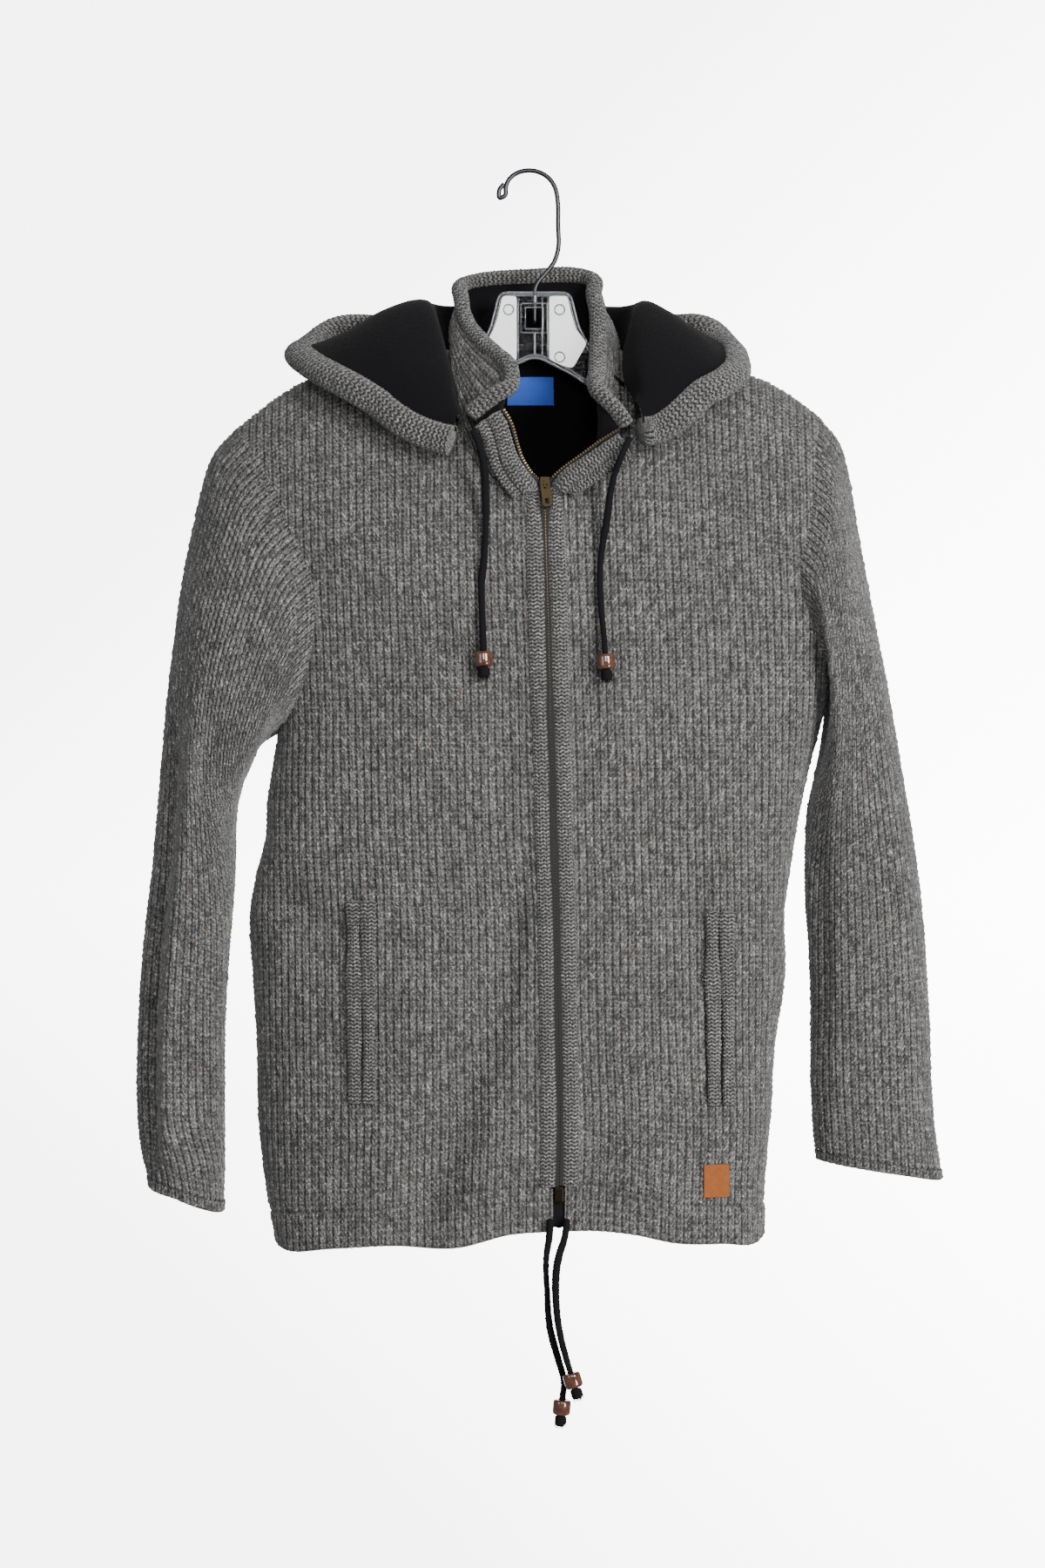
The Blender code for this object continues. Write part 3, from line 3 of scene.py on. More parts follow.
import bmesh
import bpy
import numpy as np
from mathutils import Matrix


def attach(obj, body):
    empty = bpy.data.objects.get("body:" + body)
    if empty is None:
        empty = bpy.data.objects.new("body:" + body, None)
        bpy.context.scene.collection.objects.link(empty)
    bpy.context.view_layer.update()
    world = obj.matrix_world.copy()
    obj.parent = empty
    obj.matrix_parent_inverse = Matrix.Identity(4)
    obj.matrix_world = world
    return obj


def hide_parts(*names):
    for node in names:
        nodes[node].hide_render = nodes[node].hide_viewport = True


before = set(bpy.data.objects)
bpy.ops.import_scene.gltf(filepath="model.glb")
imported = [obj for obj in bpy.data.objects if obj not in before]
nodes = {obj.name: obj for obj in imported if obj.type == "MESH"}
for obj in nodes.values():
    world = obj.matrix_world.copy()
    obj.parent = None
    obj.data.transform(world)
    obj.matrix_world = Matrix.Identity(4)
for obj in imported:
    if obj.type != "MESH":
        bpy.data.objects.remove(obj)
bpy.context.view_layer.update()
print("frame loaded:", len(nodes), "nodes")


def addObject(name, data):
    thing = bpy.data.objects.new(name, data)
    bpy.context.scene.collection.objects.link(thing)
    return thing


# camera: level and square on to the front, at the photograph's distance
view = {"place": (-0.0048, -2.4, -0.477), "tilt": 90, "sensor": 36, "spread": 0.255, "far": 30}
camera = addObject("camera", bpy.data.cameras.new("camera"))
camera.location = view["place"]
camera.rotation_euler = (math.radians(view["tilt"]), 0, 0)
camera.data.sensor_fit = "AUTO"
camera.data.sensor_width = view["sensor"]
camera.data.lens = view["sensor"] / 2 / view["spread"]
camera.data.clip_end = view["far"]
bpy.context.scene.camera = camera

# one seed for each knit, edge or strand that is drawn at random
seeds = {
    "front": {"left": 11, "right": 23}, "back": {"left": 41, "right": 57}, "relief": 90,
    "sleeve": {"left": 70, "right": 71}, "sleeve wander": {"left": 5, "right": 6},
    "collar": 81, "collar roll": 12, "hood": 91, "hood roll": 14,
    "zip band": 21, "neck seam": 23, "zip tail": 5, "braid": 50, "knot": 60, "welt": 31,
}

# the same tables as the solids, in millimetres
chestZ, chestRise, ridgeMiddle = -340.0, 180.0, 5.0
torso = np.array([  # z, left, right, front, back, zip
    (-838, -196, 184, 60, 56, 23), (-790, -205, 184, 61, 57, 23), (-735, -211, 189, 61, 58, 24),
    (-681, -212, 192, 60, 57, 23), (-627, -215, 200, 60, 56, 22), (-572, -217, 200, 60, 55, 21),
    (-545, -212, 204, 60, 55, 20), (-518, -205, 208, 60, 55, 19), (-491, -204, 213, 60, 56, 18.5),
    (-464, -200, 219, 61, 57, 18), (-438, -196, 226, 62, 58, 17), (-400, -199, 236, 62, 60, 16),
    (-340, -208, 246, 62, 62, 14.5), (-290, -220, 250, 62, 62, 13), (-240, -236, 254, 62, 62, 12),
    (-190, -250, 258, 61, 62, 11), (-150, -256, 260, 58, 62, 10),
], float)
torsoColumn = {"left": 1, "right": 2, "front": 3, "back": 4, "zip": 5}
ridge = ((0, 55, 100, 150, 180, 200, 220, 238, 262),
         (-133, -137, -143, -153, -162.5, -174, -189, -204, -226))
hem = {
    "across": (0.0, 0.15, 0.32, 0.5, 0.72, 0.9, 1.0),
    "left": (-817, -820, -830, -829, -833, -837, -832),
    "right": (-817, -817, -820, -827, -829, -830, -820),
    "left line": (-784, -787, -792, -802, -807, -810, -811),
    "right line": (-783, -784, -790, -799, -802, -804, -804),
    "low": -826.0, "deep": 25.0, "eased": 145,
    # where the back meets the fronts: its own edge and the line of its turned part
    "side": {"left": -832, "right": -820}, "side line": {"left": -811, "right": -804},
}
armhole = {
    "scoop": {"front": 1.0, "back": 0.55},
    "left": ((-196, -177, -168, -165, -166, -174, -187, -199, -215, -230),
             (-438, -410, -378, -352, -327, -303, -275, -247, -220, -200)),
    "right": ((235, 227, 219, 210, 208, 213, 219, 221, 223, 229),
              (-393, -375, -353, -330, -313, -291, -262, -235, -210, -195)),
}
neck = {"half": 65.0, "left": -258.0, "right": -259.0, "power": 2.1, "drop": 16.0, "under": 9.0}
edgeX = 17.5
edgeIn = {"hem": 4.4, "under": 3.0, "least": 4.0}  # the front's edge from the zip, under its band
folds = [  # face, start, end, half width, height
    ("front", (-2, -560), (-36, -690), 17, -7.0), ("front", (-30, -660), (-84, -826), 20, -8.0),
    ("front", (26, -560), (-44, -800), 18, 3.5), ("front", (-70, -600), (-128, -830), 26, 4.0),
    ("front", (-212, -548), (-150, -592), 15, -6.0), ("front", (-214, -500), (-150, -545), 18, 4.0),
    ("front", (-196, -452), (-92, -382), 16, -4.0), ("front", (-178, -402), (-84, -318), 18, 3.0),
    ("front", (112, -470), (124, -640), 20, -5.0), ("front", (150, -420), (168, -640), 20, 4.0),
    ("front", (228, -392), (128, -300), 16, -4.0), ("front", (70, -600), (92, -822), 22, 3.0),
    ("back", (-150, -300), (-70, -420), 24, -5.0), ("back", (160, -300), (70, -430), 24, -5.0),
    ("back", (-60, -520), (-90, -820), 24, -7.0), ("back", (40, -500), (60, -820), 26, 5.0),
    ("back", (120, -480), (150, -815), 22, -6.0),
]


def smoothAt(keys, values, where):
    # cubic reading of a table, without the overshoot of uneven steps
    keys, values, where = (np.asarray(a, float) for a in (keys, values, where))
    flat = values.reshape(len(keys), -1)
    place = np.clip(where.ravel(), keys[0], keys[-1])
    step = np.diff(keys)[:, None]
    secant = np.diff(flat, axis=0) / step
    inner = (secant[:-1] * step[1:] + secant[1:] * step[:-1]) / (step[1:] + step[:-1])
    slope = np.vstack([secant[:1], inner, secant[-1:]])
    i = np.clip(np.searchsorted(keys, place, side="right") - 1, 0, len(keys) - 2)
    span = (keys[i + 1] - keys[i])[:, None]
    t = (place - keys[i])[:, None] / span
    made = ((2 * t**3 - 3 * t**2 + 1) * flat[i] + (t**3 - 2 * t**2 + t) * span * slope[i]
            + (3 * t**2 - 2 * t**3) * flat[i + 1] + (t**3 - t**2) * span * slope[i + 1])
    return made.reshape(where.shape + values.shape[1:])


def softStep(value):
    value = np.clip(value, 0, 1)
    return value * value * (3 - 2 * value)


def unit(vectors):
    return vectors / np.maximum(np.linalg.norm(vectors, axis=-1, keepdims=True), 1e-9)


def ridgeZ(x):
    return smoothAt(*ridge, np.abs(np.asarray(x, float) - ridgeMiddle))


def nominalZ(rise):
    # rise is zero at the chest, one on the shoulder ridge and runs below zero under the chest
    rise = np.asarray(rise, float)
    arc = np.sin(np.clip(rise, 0, 1) * math.pi / 2)
    return chestZ + chestRise * np.where(rise > 0, arc, rise * math.pi / 2)


def torsoCol(name, level):
    return smoothAt(torso[:, 0], torso[:, torsoColumn[name]], level)


# a quarter of the body's cross section: reach and depth against the share of its length
quarter = {"power": 2.5, "flat": 3.6, "steps": 240}
turn = np.linspace(0, math.pi / 2, quarter["steps"])
wide = np.sin(turn) ** (2 / quarter["power"])
deep = np.clip(np.cos(turn), 0, 1) ** (2 / quarter["power"])
along = np.concatenate([[0], np.cumsum(np.hypot(np.diff(wide) * quarter["flat"], np.diff(deep)))])
along /= along[-1]


def riseOf(x, z):
    x, z = np.asarray(x, float), np.asarray(z, float)
    up = np.clip((z - chestZ) / (ridgeZ(x) - chestZ), -1, 1)
    above = np.arcsin(np.clip(up, 0, 1)) * 2 / math.pi
    return np.where(z < chestZ, (z - chestZ) / (chestRise * math.pi / 2), above)


def foldDepth(face, x, z):
    total = np.zeros_like(x)
    for panel, start, end, half, depth in folds:
        if panel != face:
            continue
        dx, dz = end[0] - start[0], end[1] - start[1]
        length = math.hypot(dx, dz)
        way = ((x - start[0]) * dx + (z - start[1]) * dz) / length
        off = ((x - start[0]) * dz - (z - start[1]) * dx) / length
        fade = softStep((way + 20) / 55) * softStep((length + 20 - way) / 55)
        total += depth * fade * np.exp(-(off / half) ** 2)
    return total


def torsoAt(face, across, rise):
    # across runs from -1 at the left side over 0 at the zip to 1 at the right side
    across, rise = np.broadcast_arrays(np.asarray(across, float), np.asarray(rise, float))
    level = nominalZ(rise)
    middle = torsoCol("zip", level)
    edge = np.where(across < 0, torsoCol("left", level), torsoCol("right", level))
    share = np.abs(across)
    x = middle + (edge - middle) * np.interp(share, along, wide)
    up = np.clip(rise, 0, None)
    z = np.where(rise > 0, chestZ + (ridgeZ(x) - chestZ) * np.sin(up * math.pi / 2), level)
    depth = torsoCol(face, level) * np.interp(share, along, deep) * np.cos(up * math.pi / 2)
    fade = softStep((1 - share) / 0.08) * softStep((1 - rise) / 0.25)
    if face == "front":
        fade = fade * softStep((np.abs(x - middle) - 16) / 14)
        ease = np.exp(-((np.abs(x - middle) - 30) / 16) ** 2)
        depth = depth - 2.0 * ease * softStep((1 - rise) / 0.4)
    depth = depth + foldDepth(face, x, z) * fade
    return np.stack([x, -depth if face == "front" else depth, z], -1)


def acrossOf(x, rise):
    # the share across at which the body has this x
    level = nominalZ(rise)
    middle = torsoCol("zip", level)
    edge = np.where(x < middle, torsoCol("left", level), torsoCol("right", level))
    share = np.interp((x - middle) / (edge - middle), wide, along)
    return np.where(x < middle, -share, share)


def torsoFacing(face, across, rise, near=0.006):
    here = torsoAt(face, across, rise)
    beside = torsoAt(face, across - np.where(np.asarray(across) < 0, -near, near), rise)
    below = torsoAt(face, across, np.asarray(rise) - near)
    out = unit(np.cross(beside - here, below - here))
    want = 1.0 if face == "back" else -1.0
    lean = out[..., 1] * want + out[..., 0] * np.sign(here[..., 0]) * 0.3 + out[..., 2] * 0.1
    return here, out * np.where(lean < 0, -1.0, 1.0)[..., None]


# the knit: one wale is four columns of points, one stitch two rows
knit = {
    "wale": 6.0, "row": 4.5, "slant": 1.25, "deep": (-1.5, 0.3, -0.5, 0.3), "rowDeep": 0.6,
    "wander": 0.5, "own": 0.22, "edge": 0.3,
}


def noiseOf(count, smooth, seed):
    values = np.random.default_rng(seed).normal(size=count + 8 * smooth)
    kernel = np.hanning(4 * smooth + 1)
    made = np.convolve(values, kernel / kernel.sum(), "same")[4 * smooth: 4 * smooth + count]
    return made / max(made.std(), 1e-9)


def stitchRelief(rows, columns, seed, scale=1.0):
    # height of each point of the knit, and its shade: painted shade that is darker the deeper the point
    # lies, with a random tone for each leg
    dice = np.random.default_rng(seed)
    part = np.arange(columns) % 4
    base = np.array(knit["deep"])[part][None, :] * np.ones((rows, 1))
    groove = (np.arange(rows) % 2 == 0)[:, None] * (part % 2 == 1)[None, :]
    base = base - knit["rowDeep"] * groove
    wobble = dice.normal(0, 0.16, (rows, columns))
    leg = dice.normal(0, 1.0, ((rows + 1) // 2, (columns + 1) // 2))
    leg = np.kron(leg, np.ones((2, 2)))[:rows, :columns]
    # the gap between wales is open at a stitch's foot, the gap between its legs at its top
    foot = (np.arange(rows) % 2 == 0)[:, None]
    between, middle = (part == 0)[None, :], (part == 2)[None, :]
    base = base + np.where(between & ~foot, 0.4, 0)
    base = base + np.where(middle & foot, 0.2, 0) - np.where(middle & ~foot, 0.25, 0)
    # the shade is painted shade, darkest in these open gaps, plus a random tone for each leg and point
    shade = 0.33 + 0.74 * np.clip(-base / 1.2, 0, 1) - 0.08 * leg
    shade = shade - 0.05 * dice.normal(0, 1, (rows, columns)) + between * np.where(foot, 0.20, -0.30)
    shade = np.minimum(shade, 1.15) - 0.12 * (middle & ~foot)
    return (base + wobble + 0.22 * leg) * scale, np.clip(shade, 0, 1)


def makeMesh(name, points, faces, material, uv=None, shade=None, smooth=True):
    # points and cloth coordinates come in millimetres
    mesh = bpy.data.meshes.new(name)
    points = np.asarray(points, float) * 0.001
    faces = np.asarray(faces, np.int32) if len(set(map(len, faces))) == 1 else faces
    if isinstance(faces, np.ndarray):
        size = faces.shape[1]
        mesh.vertices.add(len(points))
        mesh.vertices.foreach_set("co", points.astype(np.float32).ravel())
        mesh.loops.add(faces.size)
        mesh.loops.foreach_set("vertex_index", faces.ravel())
        mesh.polygons.add(len(faces))
        mesh.polygons.foreach_set("loop_start", np.arange(0, faces.size, size, dtype=np.int32))
        mesh.update(calc_edges=True)
    else:
        mesh.from_pydata([tuple(p) for p in points], [], [tuple(f) for f in faces])
    if uv is not None:
        layer = mesh.uv_layers.new(name="cloth")
        index = np.zeros(len(mesh.loops), np.int32)
        mesh.loops.foreach_get("vertex_index", index)
        layer.data.foreach_set("uv", (uv[index] * 0.001).astype(np.float32).ravel())
    if shade is not None:
        layer = mesh.attributes.new("shade", "FLOAT", "POINT")
        layer.data.foreach_set("value", shade.astype(np.float32).ravel())
    mesh.validate()
    mesh.polygons.foreach_set("use_smooth", [smooth] * len(mesh.polygons))
    mesh.materials.append(material)
    return addObject(name, mesh)


def gridFaces(rows, columns, closed=False):
    spans = columns if closed else columns - 1
    i, j = np.meshgrid(np.arange(rows - 1), np.arange(spans), indexing="ij")
    k = (j + 1) % columns
    low, high = i * columns, (i + 1) * columns
    return np.stack([low + j, low + k, high + k, high + j], -1).reshape(-1, 4)


def weld(thing):
    body = bmesh.new()
    body.from_mesh(thing.data)
    bmesh.ops.remove_doubles(body, verts=body.verts[:], dist=2e-6)
    bmesh.ops.dissolve_degenerate(body, dist=1e-7, edges=body.edges[:])
    body.to_mesh(thing.data)
    body.free()


def evenOut(thing):
    # all faces of a closed piece look outwards
    body = bmesh.new()
    body.from_mesh(thing.data)
    bmesh.ops.recalc_face_normals(body, faces=body.faces[:])
    body.to_mesh(thing.data)
    body.free()
    return thing


def orient(thing, check):
    # flips the faces if most of them look away from the given direction function
    mesh = thing.data
    total = 0.0
    for face in list(mesh.polygons)[:: max(1, len(mesh.polygons) // 300)]:
        total += float(np.dot(face.normal, check(np.array(face.center))))
    if total < 0:
        mesh.flip_normals()
    return thing


def lookAlong(thing, out):
    # flips the faces of a sheet if its middle one looks away from its point's direction
    mesh = thing.data
    face = mesh.polygons[len(mesh.polygons) // 2]
    if float(np.dot(face.normal, out.reshape(-1, 3)[face.vertices[0]])) < 0:
        mesh.flip_normals()
    return thing


def towards(out, wanted):
    return -out if (out * wanted).sum() < 0 else out


def runOf(points):
    # distance along a line of points
    return np.concatenate([[0], np.cumsum(np.linalg.norm(np.diff(points, axis=0), axis=1))])


def dress(thing, slot, *stands, body="garment"):
    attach(thing, body)
    if stands:
        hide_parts(*stands)
    return thing


def shader(name, colour, rough, metal=0.0, **others):
    made = bpy.data.materials.new(name)
    made.use_nodes = True
    main = made.node_tree.nodes["Principled BSDF"]
    main.inputs["Base Color"].default_value = (*colour, 1)
    main.inputs["Roughness"].default_value = rough
    main.inputs["Metallic"].default_value = metal
    for socket, value in others.items():
        main.inputs[socket].default_value = value
    return made, made.node_tree, main


def link(tree, a, b):
    tree.links.new(a, b)


def objectPlace(tree):
    return tree.nodes.new("ShaderNodeTexCoord").outputs["Object"]


def noiseNode(tree, where, scale, detail=2.0, rough=0.5):
    node = tree.nodes.new("ShaderNodeTexNoise")
    node.inputs["Scale"].default_value = scale
    node.inputs["Detail"].default_value = detail
    node.inputs["Roughness"].default_value = rough
    link(tree, where, node.inputs["Vector"])
    return node.outputs["Fac"]


def rampNode(tree, source, stops):
    node = tree.nodes.new("ShaderNodeValToRGB")
    ramp = node.color_ramp
    while len(ramp.elements) < len(stops):
        ramp.elements.new(0.5)
    for element, (place, colour) in zip(ramp.elements, stops):
        element.position = place
        element.color = (*colour, 1) if len(colour) == 3 else colour
    link(tree, source, node.inputs["Fac"])
    return node.outputs["Color"]


def mixNode(tree, kind, share, a, b):
    node = tree.nodes.new("ShaderNodeMix")
    node.data_type = "RGBA"
    node.blend_type = kind
    if isinstance(share, float):
        node.inputs["Factor"].default_value = share
    else:
        link(tree, share, node.inputs["Factor"])
    for place, value in ((6, a), (7, b)):
        if isinstance(value, tuple):
            node.inputs[place].default_value = value
        else:
            link(tree, value, node.inputs[place])
    return node.outputs[2]


def bumpNode(tree, main, height, strength, distance):
    node = tree.nodes.new("ShaderNodeBump")
    node.inputs["Strength"].default_value = strength
    node.inputs["Distance"].default_value = distance
    link(tree, height, node.inputs["Height"])
    link(tree, node.outputs["Normal"], main.inputs["Normal"])


def mathNode(tree, kind, a, b=None):
    node = tree.nodes.new("ShaderNodeMath")
    node.operation = kind
    for place, value in enumerate((a, b)):
        if isinstance(value, (int, float)):
            node.inputs[place].default_value = value
        elif value is not None:
            link(tree, value, node.inputs[place])
    return node.outputs[0]


# stitches of a rolled strip, in metres: one stitch long, half a wale wide
fineSet = {"pitch": 0.0029, "half": 0.0021, "lean": 1500.0, "swell": 0.5, "lift": 0.62, "gap": 420.0}


def fineStitches(tree, pitch):
    # height of slanted stitches, from cloth coordinates along and across a rolled strip
    uv = tree.nodes.new("ShaderNodeUVMap")
    uv.uv_map = "cloth"
    apart = tree.nodes.new("ShaderNodeSeparateXYZ")
    link(tree, uv.outputs[0], apart.inputs[0])
    slant = mathNode(tree, "PINGPONG", apart.outputs[1], fineSet["half"])
    place = mathNode(tree, "ADD", mathNode(tree, "MULTIPLY", apart.outputs[0], 2 * math.pi / pitch),
                     mathNode(tree, "MULTIPLY", slant, fineSet["lean"]))
    wave = mathNode(tree, "MULTIPLY", mathNode(tree, "SINE", place), fineSet["swell"])
    off = mathNode(tree, "ABSOLUTE", mathNode(tree, "SUBTRACT", slant, fineSet["half"] / 2))
    gap = mathNode(tree, "MULTIPLY", off, fineSet["gap"])
    return mathNode(tree, "SUBTRACT", mathNode(tree, "ADD", wave, fineSet["lift"]), gap)


def woolMaterial(name, fine, strength=1.0):
    # grey marl times painted light: a panel's painted shade in its grooves comes from its points, a fine
    # strip's from its cloth coordinates
    made, tree, main = shader(name, (0.11, 0.108, 0.104), 0.95, **{
        "Sheen Weight": 0.22, "Sheen Roughness": 0.5, "Specular IOR Level": 0.1})
    where = objectPlace(tree)
    marl = noiseNode(tree, where, 680, 4.0, 0.8)
    base = rampNode(tree, marl, [(0.34, (0.025, 0.0245, 0.024)), (0.46, (0.080, 0.0785, 0.076)),
                                 (0.55, (0.152, 0.149, 0.144)), (0.68, (0.50, 0.49, 0.475))])
    patch = noiseNode(tree, where, 30, 3.0, 0.6)
    tone = rampNode(tree, patch, [(0.3, (0.84, 0.84, 0.845)), (0.7, (1.10, 1.097, 1.085))])
    base = mixNode(tree, "MULTIPLY", 1.0, base, tone)
    warm = noiseNode(tree, where, 260, 1.0, 0.5)
    fleck = rampNode(tree, warm, [(0.74, (0, 0, 0)), (0.80, (1, 1, 1))])
    base = mixNode(tree, "MIX", fleck, base, (0.16, 0.090, 0.062, 1))
    height = noiseNode(tree, where, 1300, 2.0, 0.7)
    if fine:
        stitch = fineStitches(tree, fineSet["pitch"] / strength**1.6)
        # the stitch height also paints the colour: painted shade between the stitches, painted highlight on
        # their tops
        dim, lit = 0.20 * strength, 1.30 * strength
        paintedLightTint = rampNode(tree, stitch, [(0.05, (dim, dim, dim)), (0.85, (lit, lit, lit * 0.99))])
        height = mathNode(tree, "ADD", mathNode(tree, "MULTIPLY", stitch, 1.6), height)
    else:
        dark = tree.nodes.new("ShaderNodeAttribute")
        dark.attribute_name = "shade"
        # the points' shade paints the colour: painted highlight on the legs, painted shade in the grooves,
        # with the legs' random tone
        paintedLightTint = rampNode(tree, dark.outputs["Fac"], [(0.0, (1.9, 1.89, 1.87)), (0.34, (1.10, 1.10, 1.10)),
                                                    (0.62, (0.46, 0.46, 0.46)), (1.0, (0.06, 0.06, 0.062))])
    base = mixNode(tree, "MULTIPLY", 1.0, base, paintedLightTint)
    link(tree, base, main.inputs["Base Color"])
    bumpNode(tree, main, height, 0.7, 0.0010 if fine else 0.0007)
    return made


wool = woolMaterial("wool_knit", False)
woolFine = woolMaterial("wool_fine", True)
woolRoll = woolMaterial("wool_roll", True, 0.82)
fleece, tree, main = shader("fleece", (0.0050, 0.0047, 0.0055), 0.97, **{
    "Sheen Weight": 0.035, "Specular IOR Level": 0.05})
bumpNode(tree, main, noiseNode(tree, objectPlace(tree), 420, 4.0, 0.7), 0.9, 0.0012)
cordCloth, tree, main = shader("cord_cloth", (0.0045, 0.0045, 0.0055), 0.9, **{"Specular IOR Level": 0.12})
bumpNode(tree, main, noiseNode(tree, objectPlace(tree), 900, 2.0, 0.6), 0.5, 0.0004)
tape = shader("tape", (0.0075, 0.0075, 0.0082), 0.9)[0]
brass = shader("brass", (0.026, 0.019, 0.010), 0.36, 1.0)[0]
toothBrass = shader("tooth_brass", (0.20, 0.132, 0.058), 0.36, 1.0)[0]
print("materials ready")


def armEdge(side, scoop, count=40):
    # the armhole's line on the body; the back's is less scooped than the front's
    x, z = (np.array(a, float) for a in armhole[side])
    length = np.concatenate([[0], np.cumsum(np.hypot(np.diff(x), np.diff(z)))])
    where = length[-1] * np.linspace(0, 1, count)
    xs, zs = smoothAt(length, x, where), smoothAt(length, z, where)
    straight = xs[0] + (xs[-1] - xs[0]) * (zs - zs[0]) / (zs[-1] - zs[0])
    xs = straight + (xs - straight) * scoop
    rise = riseOf(xs, zs)
    return acrossOf(xs, rise), rise


def neckEdge(side, count, under=0.0):
    # the line from the zip up the V to the ridge, a little lower if knit runs on under the collar
    sign = -1 if side == "left" else 1
    low = neck[side] + under
    start = torsoCol("zip", low) + sign * edgeX
    end = ridgeMiddle + sign * neck["half"]
    top = ridgeZ(end)
    t = np.linspace(0, 1, count) * math.pi / 2
    x = start + (end - start) * np.sin(t) ** (2 / neck["power"])
    z = top - (top - low) * np.clip(np.cos(t), 0, 1) ** (2 / neck["power"])
    rise = riseOf(x, z)
    rise[-1] = 1.0
    return acrossOf(x, rise), rise


def arcTable(face, side, rise):
    # distance round the body from the zip, for each rise
    level = nominalZ(rise)
    reach = np.abs(torsoCol(side, level) - torsoCol("zip", level))[:, None]
    depth = (torsoCol(face, level) * np.cos(np.clip(rise, 0, 1) * math.pi / 2))[:, None]
    step = np.hypot(np.diff(wide)[None] * reach, np.diff(deep)[None] * depth)
    return np.concatenate([np.zeros((len(rise), 1)), np.cumsum(step, 1)], 1)


def risesUp(face, lowZ):
    # the rise of each row of points, with its height in mm and how many mm one rise is there
    rise = np.linspace(float(riseOf(0.0, lowZ)), 1.0, 900)
    length = runOf(torsoAt(face, 0.35, rise))
    where = np.arange(0, length[-1], knit["row"] / 2)
    where = np.append(where, length[-1])
    rises = np.interp(where, length, rise)
    return rises, where, np.gradient(where) / np.maximum(np.gradient(rises), 1e-6)


def hemZ(name, share):
    return smoothAt(hem["across"], hem[name], share)


def panel(face, side):
    # points, directions, relief and cloth coordinates of one half of the front or back
    sign = -1 if side == "left" else 1
    lowZ, seed = hem["low"], seeds[face][side]
    rises, height, mmPerRise = risesUp(face, lowZ)
    table = arcTable(face, side, rises)
    full = table[:, -1]
    armAcross, armRise = armEdge(side, armhole["scoop"][face])
    high = full.copy()
    above = rises > armRise[0]
    share = np.abs(np.interp(rises[above], armRise, armAcross))
    high[above] = [np.interp(s, along, row) for s, row in zip(share, table[above])]
    if face == "front":
        neckAcross, neckRise = neckEdge(side, 60, neck["under"])  # the knit runs on under band and collar
        level = nominalZ(rises)
        inset = np.where(height < hem["deep"], edgeIn["hem"], edgeX - edgeIn["under"])
        edge = np.abs(acrossOf(torsoCol("zip", level) + sign * inset, rises))
        over = rises > neckRise[0]
        edge[over] = np.maximum(edge[over], np.abs(np.interp(rises[over], neckRise, neckAcross)))
    else:
        edge = np.zeros(len(rises))
    low = np.array([np.interp(s, along, row) for s, row in zip(edge, table)])
    if face == "front":
        fade = np.clip((1 - rises) / 0.15, 0, 1)
        low = np.maximum(low - np.where(over, edgeIn["least"] * fade, 0), edgeIn["least"])
    columns = int(high.max() / (knit["wale"] / 4)) + 8
    rows = len(rises)
    wander = noiseOf(rows, 26, seed)[:, None] * knit["wander"]
    own = np.stack([noiseOf(rows, 9, seed + 1 + w) for w in range(columns // 4 + 2)], 1) * knit["own"]
    own = np.repeat(own, 4, 1)[:, :columns]
    away = (np.arange(columns)[None] - 4) * knit["wale"] / 4 + wander + own
    clipped = np.clip(away, low[:, None], high[:, None])
    share = np.stack([np.interp(line, row, along) for line, row in zip(clipped, table)])
    zig = np.array([knit["slant"], 0, -knit["slant"], 0])[np.arange(columns) % 4]
    free = np.abs(clipped - away) < 1e-6
    calm = np.clip(np.arange(rows)[:, None] / 3, 0, 1) * free
    zigzag = rises[:, None] + zig[None] * calm / mmPerRise[:, None]
    zigzag = np.minimum(zigzag, 1.0)
    zigzag[-1] = 1.0
    if face == "front":
        drop = hemZ(side, share) - lowZ
        dropLine = hemZ(side + " line", share) - lowZ - hem["deep"]
    else:
        outer = np.clip(share * 3 - 2, 0, 1)
        drop = (hem["side"][side] - lowZ) * outer
        dropLine = (hem["side line"][side] - lowZ - hem["deep"]) * outer + 3 * (1 - outer)
    up = height[:, None]
    below = drop + (dropLine - drop) * np.clip(up / hem["deep"], 0, 1)
    zigzag = zigzag + below * (1 - softStep((up - hem["deep"]) / hem["eased"])) / (chestRise * math.pi / 2)
    points, out = torsoFacing(face, sign * share, zigzag)
    # groove holds each point's painted shade, which goes on as its shade attribute
    relief, groove = stitchRelief(rows, columns, seed + seeds["relief"])
    relief = relief * np.where(free, 1.0, knit["edge"])
    line = int(np.searchsorted(height, hem["deep"]))
    # along the hem's seam line the knit dips, and its shade is raised: painted shade in the seam
    for row, deep in ((line - 1, 0.4), (line, 1.2), (line + 1, 0.4)):
        relief[row] -= deep
        groove[row] = np.maximum(groove[row], 0.42 * deep)
    uv = np.stack([sign * clipped, height[:, None] + zig[None]], -1)
    return {
        "points": points, "out": out, "relief": relief, "groove": groove, "uv": uv,
        "line": line, "rows": rows,
    }


# a turned-under edge: how far in and how far off the end each of its rows lies
turnedUnder = ((-1.3, 0.9), (-2.9, 1.2), (-4.5, 0.2), (-5.0, -3.0))


def clothSize(points):
    # longest row, longest column and area of a smooth grid of points, in metres
    a, b = np.diff(points, axis=1), np.diff(points, axis=0)
    width = np.percentile(np.linalg.norm(a, axis=2).sum(1), 95)
    long = np.percentile(np.linalg.norm(b, axis=2).sum(0), 75)
    area = np.linalg.norm(np.cross(a[:-1], b[:, :-1]), axis=2).sum()
    return width / 1000, long / 1000, area / 1e6


def declare(piece, points):
    width, long, area = clothSize(points)
    area = min(area, width * long)
    print("cloth:", piece.name, round(width, 3), round(long, 3), round(area, 4))


